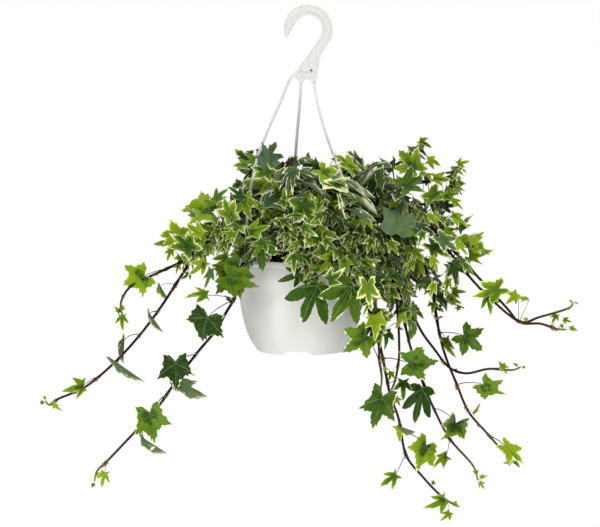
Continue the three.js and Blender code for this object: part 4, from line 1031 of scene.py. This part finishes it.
def grown_leaf(vine, leaf, attempt, cover, first_slot=FIRST_TRY_SLOT, unruly=UNRULY):
    """A leaf among the others: its blade faces out, up and to the front or back, its tip hangs out."""
    start, end, count, *sizes = cover
    pick = [draw(vine.number, leaf + first_slot, attempt, choice) for choice in range(16)]
    share = (leaf + 0.5 + 0.5 * (pick[0] - 0.5)) / count
    at = mixed(start, end, share)
    root = on_span(vine.points, at)
    along = (on_span(vine.points, min(at + 0.3, len(vine.points) - 1)) - root).normalized()
    up = Vector((0, 0, 1))
    aside = along.cross(up).normalized() * (1 if leaf % 2 else -1)
    size = mixed(*sizes, share) * mixed(0.82, 1.18, pick[1])
    reach = size * mixed(0.45, 1, pick[2])
    base = (root + aside * (reach * mixed(0.35, 1, pick[3])) + up * (reach * mixed(-0.25, 0.9, pick[4]))
            + along * (reach * mixed(-0.1, 0.6, pick[5])))
    outward = Vector((base.x, base.y, 0)).normalized()
    face = Vector((0, -1 if base.y < 25 else 1, 0))
    scatter = [Vector(pick[k: k + 3]) - Vector((0.5, 0.5, 0.5)) for k in (6, 9)]
    normal = (outward * 0.5 + face * 0.6 + up * 0.5 + scatter[0] * unruly).normalized()
    midrib = (up * (-0.35 if base.z > 70 else -0.8) + outward * 0.5 + aside * 0.35 + scatter[1] * 0.9)
    midrib = (midrib - normal * midrib.dot(normal)).normalized()
    look = look_at(base, [draw(vine.number, leaf + first_slot, 0, choice) for choice in (20, 21)])
    return Leaf(root, base, midrib, normal, size, mixed(0.75, 1.15, pick[12]),
                mixed(0.1, 0.32, pick[13]), look)


def packed_leaf(vine, leaf_of, leaf):
    """The try of a leaf that is in the vine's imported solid, or None where the rule left it out."""
    for attempt in range(TRIES):
        tried = leaf_of(vine, leaf, attempt)
        if sum(vine.corners.find(tip)[2] < TIP_FOUND for tip in tried.tips()) >= TIPS_FOUND:
            return tried
    return None


def claw(leaf, high):
    """Gives a striped leaf high in the crown its narrow curved lobes."""
    if leaf.look == "w" and high > 0.6:
        leaf.edge, leaf.breadth = "clawed", 0.7


for vine in vines:
    for leaf in range(len(vine.leaves)):
        shown = packed_leaf(vine, shown_leaf, leaf) or shown_leaf(vine, leaf, 0)
        if shown.bent == BENT["edge on"]:
            shown.size *= EDGE_ON["longer"]
            shown.droop *= EDGE_ON["droop"]
        vine.grown.append(shown)
    for leaf in range(vine.cover[2]):
        found = packed_leaf(vine, lambda v, k, a: grown_leaf(v, k, a, v.cover), leaf)
        if found:
            high = part_way(found.base.z, 50, 90)
            found.breadth, found.bent = mixed(0.9, 0.62, high), mixed(1.7, 2.2, high)
            found.droop *= mixed(1, 2.2, high)
            claw(found, high)
            vine.grown.append(found)


def pattern(edge, lobing):
    """A flat blade with its stalk at the origin and its midrib along +Y, one unit long."""
    half = [(angle, reach * (lobing if angle in SINUS_ANGLES else 1), lobe)
            for angle, reach, lobe in edge]
    around = half + [(-angle, reach, lobe) for angle, reach, lobe in half[-2:0:-1]]
    bm = bmesh.new()
    rim = bm.verts.layers.float.new("rim")
    lobed = bm.verts.layers.float.new("lobed")
    under = bm.faces.layers.float.new("under")
    verts = bmesh.ops.create_circle(
        bm, cap_ends=True, cap_tris=True, segments=len(around), radius=1)["verts"]
    ring = sorted((vert for vert in verts if vert.co.length > 0.5),
                  key=lambda vert: math.atan2(vert.co.x, vert.co.y) % math.tau)
    for vert, (angle, reach, lobe) in zip(ring, around):
        turn = math.radians(angle)
        vert.co = Vector((math.sin(turn), math.cos(turn), 0)) * reach
        vert[rim], vert[lobed] = 1, lobe
    below = bmesh.ops.duplicate(bm, geom=list(bm.faces))["geom"]
    lower = [item for item in below if isinstance(item, bmesh.types.BMFace)]
    bmesh.ops.reverse_faces(bm, faces=lower)
    for face in lower:
        face[under] = 1
    upper = [face for face in bm.faces if face not in set(lower)]
    upper_edges = {edge for face in upper for edge in face.edges}
    spokes = [edge for edge in upper_edges if not edge.is_boundary]
    bmesh.ops.subdivide_edges(bm, edges=spokes, cuts=1)
    for vert in bm.verts:
        if not any(edge.is_boundary for edge in vert.link_edges):
            lift = -0.5 if vert.link_faces[0][under] else 0.5
            vert.co.z = lift * BLADE_THICKNESS
    bmesh.ops.remove_doubles(bm, verts=bm.verts, dist=1e-5)
    flat_map = bm.loops.layers.uv.new("blade")
    for face in bm.faces:
        face.smooth, face.material_index = True, 1
        for loop in face.loops:
            loop[flat_map].uv = loop.vert.co.xy
            if 0.02 < loop.vert[rim] < 0.98:
                loop.vert[rim] = 0.5
    for edge in bm.edges:
        edge.smooth = not all(vert[rim] > 0.98 for vert in edge.verts)
    mesh = bpy.data.meshes.new("blade_pattern")
    bm.to_mesh(mesh)
    bm.free()
    return mesh


patterns = {(name, lobing): pattern(edge, lobing)
            for name, edge in EDGES.items() for lobing in LOBINGS}


def add_mesh(bm, mesh):
    """The vertices that a mesh brings into a bmesh."""
    before = len(bm.verts)
    bm.from_mesh(mesh)
    bm.verts.ensure_lookup_table()
    return bm.verts[before:]


def curved(distance, turn):
    """How far a line goes on, and how far it rises, when it turns steadily as it goes."""
    turn = turn if abs(turn) > 0.01 else 0.01
    return math.sin(turn * distance) / turn, (1 - math.cos(turn * distance)) / turn


def grow_blade(bm, leaf, luck):
    """Bends a pattern to a leaf: it arches to its tip, rolls, folds on its veins and waves."""
    layer = bm.verts.layers
    lobed, look, tone = layer.float["lobed"], layer.float_vector["look"], layer.float["tone"]
    nearest = min(LOBINGS, key=lambda lobing: abs(lobing - leaf.lobing))
    side = leaf.midrib.cross(leaf.normal)
    frame_of = Matrix((side, leaf.midrib, leaf.normal)).transposed()
    fold, wave = mixed(*FOLDS, luck[0]) * leaf.bent, mixed(*WAVES, luck[1]) * leaf.bent
    curl, phase = mixed(*CURLS, luck[3]) * leaf.bent, luck[2] * math.tau
    roll = mixed(*ROLLS, luck[5]) * leaf.bent - leaf.droop
    for vert in add_mesh(bm, patterns[leaf.edge, nearest]):
        x, y = vert.co.x * leaf.breadth, vert.co.y
        far = math.hypot(x, y)
        height = vert.co.z + CHANNEL * (1 - vert[lobed]) * min(far, CHANNEL_REACH) + fold * abs(x)
        height += wave * far * math.sin(5 * math.atan2(x, y) + phase) + curl * x * y
        x += curl * max(y, 0) ** 2 * 0.7
        arched = 2 * leaf.droop * y
        x, rise = curved(x, roll)
        y, fall = curved(y, 2 * leaf.droop)
        height += rise
        y, height = y + height * math.sin(arched), height * math.cos(arched) - fall
        vert.co = leaf.base + frame_of @ Vector((x, y, height)) * leaf.size
        vert[look], vert[tone] = LOOKS[leaf.look], luck[4]


def grow_stalk(bm, leaf, luck):
    """A thin stalk that leaves the vine upwards and bends over to its blade."""
    tip = bm.verts.layers.float["tip"]
    end = leaf.base + leaf.midrib * (0.05 * leaf.size) - leaf.normal * (0.02 * leaf.size)
    reach = (end - leaf.root).length
    lifted = Vector((0, 0, 0.22 * reach * mixed(0.3, 1, luck[5])))
    start_pull = leaf.root + ((end - leaf.root) * 0.3 + lifted)
    end_pull = end - leaf.midrib * (0.22 * reach) + leaf.normal * (0.06 * reach)
    shares = [k / (STALK_CUTS + 1) for k in range(STALK_CUTS + 2)]
    along = [(1 - t) ** 3 * leaf.root + 3 * t * (1 - t) ** 2 * start_pull
             + 3 * t * t * (1 - t) * end_pull + t ** 3 * end for t in shares]
    thickness = min(max(leaf.size / 34, 0.45), 1.2)
    widths = [mixed(*STALK_THICKNESS, t) * thickness for t in shares]
    before = len(bm.verts)
    sweep(bm, along, Vector((0.31, 0.52, 0.8)), widths, STALK_SIDES)
    bm.verts.ensure_lookup_table()
    for i, vert in enumerate(bm.verts[before:]):
        vert[tip] = mixed(0.62, 0.97, shares[i // STALK_SIDES])


# the space round the pot that small leaves keep out of
POT_FRONT = {"radius": 88, "top": 4, "bottom": -120}
# the crown's outline seen from the front: across, its top and its bottom
CROWN_EDGE = [(-150, 40, -10), (-141, 70, -50), (-106, 93, -53), (-85, 136, -53), (-75, 136, -53),
              (-62, 138, -6), (-32, 119, -6), (0, 119, -6), (1, 121, -60), (36, 125, -80), (72, 125, -80),
              (73, 125, -98), (122, 140, -82), (152, 140, -78), (190, 122, -66), (214, 60, -50)]


def crown_heights(across):
    """The top and bottom of the crown's outline at a place across it."""
    for (x, top, bottom), (next_x, next_top, next_bottom) in zip(CROWN_EDGE, CROWN_EDGE[1:]):
        if x <= across < next_x:
            share = (across - x) / (next_x - x)
            return mixed(top, next_top, share), mixed(bottom, next_bottom, share)
    return None


def in_crown(leaf):
    """Whether a small leaf stays inside the crown's outline, off the pot and off the shown leaves."""
    tip = leaf.base + leaf.midrib * leaf.size
    for point in (leaf.base, tip):
        heights = crown_heights(point.x)
        if not heights or not heights[1] < point.z < heights[0]:
            return False
        near_pot = math.hypot(point.x, point.y) < POT_FRONT["radius"]
        if near_pot and POT_FRONT["bottom"] < point.z < POT_FRONT["top"]:
            return False
    for place, size, turn, *_ in CROWN_LEAVES:
        middle = Vector(place) + hanging(turn) * size * LEAF_MIDDLE
        if leaf.base.y < place[1] + 14 and (leaf.base - middle).xz.length < size * 0.55:
            return False
    return True


def add_small_leaves(vine):
    """Fills the crown round a vine with small leaves, more curled and narrower the higher."""
    kind = SMALL_LEAVES["crown" if vine.name.startswith("crown") else "trail"]
    start = vine.cover[0] - kind["before"]
    end = min(vine.cover[1] + kind["past"], len(vine.points) - 1.2)
    cover = (start, end, kind["count"], *SMALL_LEAVES["sizes"])
    for leaf in range(kind["count"]):
        for attempt in range(SMALL_LEAVES["tries"]):
            tried = grown_leaf(
                vine, leaf, attempt, cover, SMALL_LEAVES["slot"], SMALL_LEAVES["unruly"])
            if in_crown(tried):
                high = part_way(tried.base.z, 40, 90)
                tried.droop *= mixed(1.8, 2.6, high)
                tried.bent = BENT["small"]
                tried.breadth = mixed(mixed(0.7, 0.95, tried.lobing), 0.5, high)
                tried.size *= mixed(1, 1.25, high)
                claw(tried, high)
                vine.grown.append(tried)
                break


def stalk_start(base, midrib, size):
    """The vine and the place on it from where a stalk reaches a blade best, from behind it."""
    reached = []
    for vine in vines:
        for step in range(12, 10 * (len(vine.points) - 1)):
            point = on_span(vine.points, step / 10)
            if point.y > base.y - VINE_BEHIND:
                detour = 0 if (point - base).dot(midrib) < 0.35 * size else STALK_DETOUR
                reached.append(((point - base).length + detour, vine.number, step / 10))
    return min(reached)[1:]


def add_crown_leaf(place, size, turn, facing, look, breadth):
    """One leaf of the list, far enough forward to be seen, on the vine that suits it best."""
    base, normal = Vector(place), Vector(facing).normalized()
    foremost = base.y
    for other in [leaf for vine in vines for leaf in vine.grown]:
        apart = (other.base + other.midrib * (other.size * LEAF_MIDDLE) - base).xz.length
        if apart < (size + other.size) * LEAF_MIDDLE:
            middle = other.base.y + other.midrib.y * other.size * LEAF_MIDDLE
            foremost = min(foremost, middle - FORWARD)
    base.y = max(foremost, base.y - MOST_FORWARD, FOREMOST)
    down = hanging(turn)
    midrib = (down - normal * down.dot(normal)).normalized()
    number, at = stalk_start(base, midrib, size)
    root = on_span(vines[number].points, at)
    arch = mixed(0.7, 0.25, min(breadth, 1)) if facing[2] > 0.45 else 0.18
    shown = Leaf(root, base, midrib, normal, size, 0.9, arch, look, None, breadth * 0.92)
    shown.bent = BENT["flat" if look == "G" else "in the crown"]
    vines[number].grown.append(shown)


for vine in vines:
    add_small_leaves(vine)
for row in CROWN_LEAVES:
    add_crown_leaf(*row)

bark = Finish("vine_bark", Roughness=0.55, Specular_IOR_Level=0.12)
place = bark.place()
age = bark.node("Attribute", {"attribute_name": "tip"}, output=2)
mottle = bark.cloud(place, 420, 3)
bark.link("Base Color", bark.node("ValToRGB", {"stops": [
    (0.0, (0.07, 0.036, 0.018)), (0.1, (0.015, 0.006, 0.005)), (0.66, (0.024, 0.008, 0.006)),
    (0.82, (0.045, 0.017, 0.008)), (0.9, (0.09, 0.075, 0.018)), (0.97, (0.19, 0.28, 0.02)),
]}, {"Fac": age + mottle * 0.16 - 0.08}))
bark.link("Roughness", mottle * 0.3 + 0.35)
bark.bump(bark.cloud(place, 900, 3), 0.4, 0.0004)

blade = Finish("ivy_blade", Roughness=0.42, IOR=1.45)
blade.shader.inputs["Specular IOR Level"].default_value = 0.13
flat_place = blade.node("UVMap", {"uv_map": "blade"})
rim = blade.node("Attribute", {"attribute_name": "rim"}, output=2)
tone = blade.node("Attribute", {"attribute_name": "tone"}, output=2)
under = blade.node("Attribute", {"attribute_name": "under"}, output=2)
look = blade.node("Attribute", {"attribute_name": "look"}, output=1)
age = blade.node("SeparateXYZ", {}, {"Vector": look})
cream = blade.node("SeparateXYZ", {}, {"Vector": look}, output=1)
grey = blade.node("SeparateXYZ", {}, {"Vector": look}, output=2)
own_place = blade.node("VectorMath", {"operation": "ADD"}, {
    0: flat_place, 1: blade.node("CombineXYZ", {}, {"X": tone * 41, "Y": tone * 17, "Z": tone * 7})})
x = blade.node("SeparateXYZ", {}, {"Vector": flat_place})
y = blade.node("SeparateXYZ", {}, {"Vector": flat_place}, output=1)
patches = blade.cloud(own_place, 3.2, 3)
fine = blade.cloud(own_place, 11, 2)
veins = 0.0
for degrees in (middle for middle, _ in LOBES if middle >= 0):
    cos, sin = math.cos(math.radians(degrees)), math.sin(math.radians(degrees))
    along, across = y * cos + abs(x) * sin, abs(x) * cos - y * sin
    line = (1 - abs(across).step(0.005, 0.018)) * along.step(0.0, 0.03)
    ribs = 1 - abs((along - abs(across) * 1.1 + 5) % 0.15 - 0.075).step(0.0, 0.014)
    near = (1 - abs(across).step(0.1, 0.2)) * along.step(0.05, 0.12)
    veins = (line + ribs * near * 0.3).most(veins)
green = blade.node("ValToRGB", {"stops": [
    (0.0, (0.25, 0.38, 0.004)), (0.3, (0.12, 0.23, 0.003)), (0.6, (0.036, 0.09, 0.003)),
    (0.9, (0.013, 0.037, 0.003)),
]}, {"Fac": age + (tone - 0.5) * 0.85})
green = blade.mixed(grey * patches.step(-0.1, 0.8), green, (0.11, 0.17, 0.12))
green = blade.mixed(fine.step(0.45, 0.75) * age.step(0.3, 0.55) * 0.3, green, (0.13, 0.22, 0.012))
edging = (rim + (patches - 0.5) * 1.4).step(0.4, 0.95) * (1 - age.step(0.4, 0.62)) * (1 - grey) * 0.8
green = blade.mixed(edging, green, (0.26, 0.4, 0.012))
heart = (1.05 - rim * 1.3 + (patches - 0.5) * 2.2).step(0.35, 0.8) * age.step(0.1, 0.4)
heart = heart * (1 - grey * 0.8)
green = blade.mixed(heart * 0.85, green, (0.007, 0.04, 0.001))
green = blade.mixed(veins * (age * 0.5 + 0.1), green, (0.26, 0.38, 0.13))
margin = (rim + (patches - 0.5) * 0.46 + (fine - 0.5) * 0.2 + cream * 0.45 - 1.0).step(-0.02, 0.03)
margin = margin * cream.step(0.0, 0.04)
pale = blade.mixed(age.step(0.1, 0.45), (0.84, 0.93, 0.3), (0.97, 0.98, 0.66))
colour = blade.mixed(margin, green, pale)
colour = blade.mixed(under * 0.6, colour, (0.17, 0.23, 0.12))
blade.link("Base Color", colour)
blade.link("Roughness", fine * 0.2 + under * 0.15 + 0.3)
blade.bump(fine * 0.5 - veins * 0.6, 0.3, 0.0012)

rootlet = Finish("aerial_rootlet", Roughness=0.85)
rootlet.link("Base Color", rootlet.mixed(
    rootlet.cloud(rootlet.place(), 500), (0.24, 0.11, 0.045), (0.5, 0.27, 0.12)))


def rootlet_tuft(bm, vine, place, along, slot_number):
    """Stubby brown roots in a knot along the side of a node that turns to the ground."""
    grown = mixed(0.5, 1.25, draw(vine.number, slot_number, 90, 0))
    for i in range(ROOTLETS["count"]):
        pick = [draw(vine.number, slot_number, i, choice) for choice in range(5)]
        out = Vector(pick[:3]) - Vector((0.62, 0.6, 0.85))
        out = (out - along * out.dot(along) * 0.7).normalized()
        length = mixed(*ROOTLETS["length"], pick[3]) * grown
        shift = ROOTLETS["spread"] * grown * (2 * pick[4] - 1)
        middle = place + along * shift + out * (length / 2 + 0.7)
        turn = out.to_track_quat("Z", "Y").to_matrix().to_4x4()
        cone = bmesh.ops.create_cone(
            bm, cap_ends=True, segments=4, radius1=ROOTLETS["root"], radius2=ROOTLETS["end"],
            depth=length, matrix=Matrix.Translation(middle) @ turn)["verts"]
        for face in {face for vert in cone for face in vert.link_faces}:
            face.material_index = 2


def add_buds(vine):
    """Young leaves at the tip of a trail and beside some of its nodes."""
    last = len(vine.points) - 1
    places = [last - 0.02, last - 0.35]
    places += [k + 0.5 for k in range(5, last - 1) if draw(vine.number, k, 9, 9) < 0.2]
    for i, at in enumerate(places):
        pick = [draw(vine.number, BUD_SLOT + i, 0, choice) for choice in range(8)]
        root = on_curve(vine.points, at)
        facing = Vector((pick[0] - 0.5, -0.9, pick[1])).normalized()
        towards = Vector(pick[2:5]) - Vector((0.5, 0.5, 0.35))
        midrib = (towards - facing * towards.dot(facing)).normalized()
        size = mixed(*BUD_SIZES, pick[5]) * (1.3 if i < 2 else 1)
        base = root + midrib * (size * 0.55)
        bud = Leaf(root, base, midrib, facing, size, 1.1, 0.4, "l", "plain", 0.8)
        bud.bent = BENT["bud"]
        vine.grown.append(bud)


def grow_stem(bm, vine):
    """The stem: thinner towards its tip, and swollen where a leaf or bud stands on it."""
    line = through(vine.points, VINE_CUTS)
    widths = []
    for k, point in enumerate(line):
        share = k / (len(line) - 1)
        taper = mixed(1, VINE_TIP["width"], part_way(share, VINE_TIP["from"], 1))
        near = min(((leaf.root - point).length for leaf in vine.grown), default=NODE_REACH)
        swelling = NODE_SWELLING * max(0, 1 - near / NODE_REACH)
        widths.append(mixed(*VINE_THICKNESS, share) * taper * (1 + swelling))
    sweep(bm, line, Vector((0.42, 0.35, 0.84)), widths, VINE_SIDES)
    tip = bm.verts.layers.float["tip"]
    for i, vert in enumerate(bm.verts):
        vert[tip] = (i // VINE_SIDES) / (len(line) - 1)


def grow_rootlets(bm, vine):
    """Tufts of rootlets at a trail's shown leaves, and at uneven steps between them."""
    last_tuft = len(vine.points) - 1 - ROOTLETS["tip_free"]
    places = [leaf[0] for leaf in vine.leaves if leaf[0] < last_tuft]
    at = ROOTLETS["first"]
    while at < last_tuft:
        places.append(at)
        at += ROOTLETS["every"] * mixed(0.5, 1.5, draw(vine.number, int(at * 10), 1, 1))
    for at in places:
        place = on_curve(vine.points, at)
        along = (on_curve(vine.points, at + 0.1) - place).normalized()
        rootlet_tuft(bm, vine, place, along, int(400 + at * 10))


for vine in vines:
    trailing = vine.number < len(TRAILS)
    if trailing:
        add_buds(vine)
    bm = bmesh.new()
    for name in ("tip", "rim", "lobed", "tone"):
        bm.verts.layers.float.new(name)
    bm.verts.layers.float_vector.new("look")
    bm.faces.layers.float.new("under")
    bm.loops.layers.uv.new("blade")
    grow_stem(bm, vine)
    if trailing:
        grow_rootlets(bm, vine)
    for i, leaf in enumerate(vine.grown):
        luck = [draw(vine.number, i + 200, 0, choice) for choice in range(6)]
        grow_stalk(bm, leaf, luck)
        grow_blade(bm, leaf, luck)
    for face in bm.faces:
        if face.material_index == 0:
            face.smooth = True
    piece(vine.name + "_leafy", bm, vine.name, [bark, blade, rootlet])

# ---- Studio -------------------------------------------------------------------------------------
# A white studio: the pot hangs clear of everything, far above a pale round floor. The key light is
# high at the front right, a fill light low at the left, and soft lamps are below, above and behind.
FLOOR_RADIUS, FLOOR_HEIGHT = 1.2, -1.1
AMBIENT = 0.24
LAMPS = {  # size, power, place and what it points at
    "key_light": (0.7, 40, (1.3, -2.4, 1.9), (0, 0, -0.3)),
    "fill_light": (1.0, 17, (-1.1, -1.2, -0.95), (0, 0, -0.35)),
    "bounce_light": (1.2, 6, (0.25, -0.45, -1.05), (0, -0.1, -0.3)),
    "top_light": (1.2, 20, (0.1, 0.2, 1.6), (0, 0, -0.3)),
    "back_light_left": (1.2, 20, (-1.6, 2.2, 0.5), (0, 0, -0.3)),
    "back_light_right": (1.2, 20, (1.9, 1.9, 0.3), (0, 0, -0.3)),
}
CAMERA_PLACE, CAMERA_DROP, CAMERA_LENS, CAMERA_SENSOR = (-0.0116, -2.0416, -0.1176), 5.2, 100, 36

floor_disc = bmesh.new()
bmesh.ops.create_circle(floor_disc, cap_ends=True, segments=96, radius=FLOOR_RADIUS)
bmesh.ops.translate(floor_disc, vec=(0, 0, FLOOR_HEIGHT), verts=floor_disc.verts)
mesh = bpy.data.meshes.new("studio_floor")
floor_disc.to_mesh(mesh)
floor_disc.free()
studio_floor = bpy.data.objects.new("studio_floor", mesh)
bpy.context.scene.collection.objects.link(studio_floor)
pale_floor = Finish("pale_floor", Roughness=0.8)
tint = pale_floor.cloud(pale_floor.place(), 3)
pale_floor.link("Base Color", pale_floor.mixed(tint, (0.8, 0.8, 0.8), (0.76, 0.76, 0.76)))
mesh.materials.append(pale_floor.material)

scene = bpy.context.scene
scene.view_settings.view_transform = "Standard"
scene.view_settings.look = "None"
world = bpy.data.worlds.new("white_studio")
world.use_nodes = True
background = world.node_tree.nodes["Background"]
background.inputs["Color"].default_value = (1, 1, 1, 1)
seen = world.node_tree.nodes.new("ShaderNodeLightPath")
strength = world.node_tree.nodes.new("ShaderNodeMapRange")
strength.inputs["To Min"].default_value = AMBIENT
world.node_tree.links.new(seen.outputs["Is Camera Ray"], strength.inputs["Value"])
world.node_tree.links.new(strength.outputs["Result"], background.inputs["Strength"])
scene.world = world

for name, (size, power, place, towards) in LAMPS.items():
    light = bpy.data.lights.new(name, "AREA")
    light.size, light.energy = size, power
    lamp = bpy.data.objects.new(name, light)
    lamp.location = place
    lamp.rotation_euler = (Vector(towards) - Vector(place)).to_track_quat("-Z", "Y").to_euler()
    scene.collection.objects.link(lamp)

camera = bpy.data.objects.new("camera", bpy.data.cameras.new("camera"))
camera.data.lens, camera.data.sensor_width = CAMERA_LENS, CAMERA_SENSOR
camera.location = CAMERA_PLACE
camera.rotation_euler = (math.radians(90 - CAMERA_DROP), 0, 0)
scene.collection.objects.link(camera)
scene.camera = camera
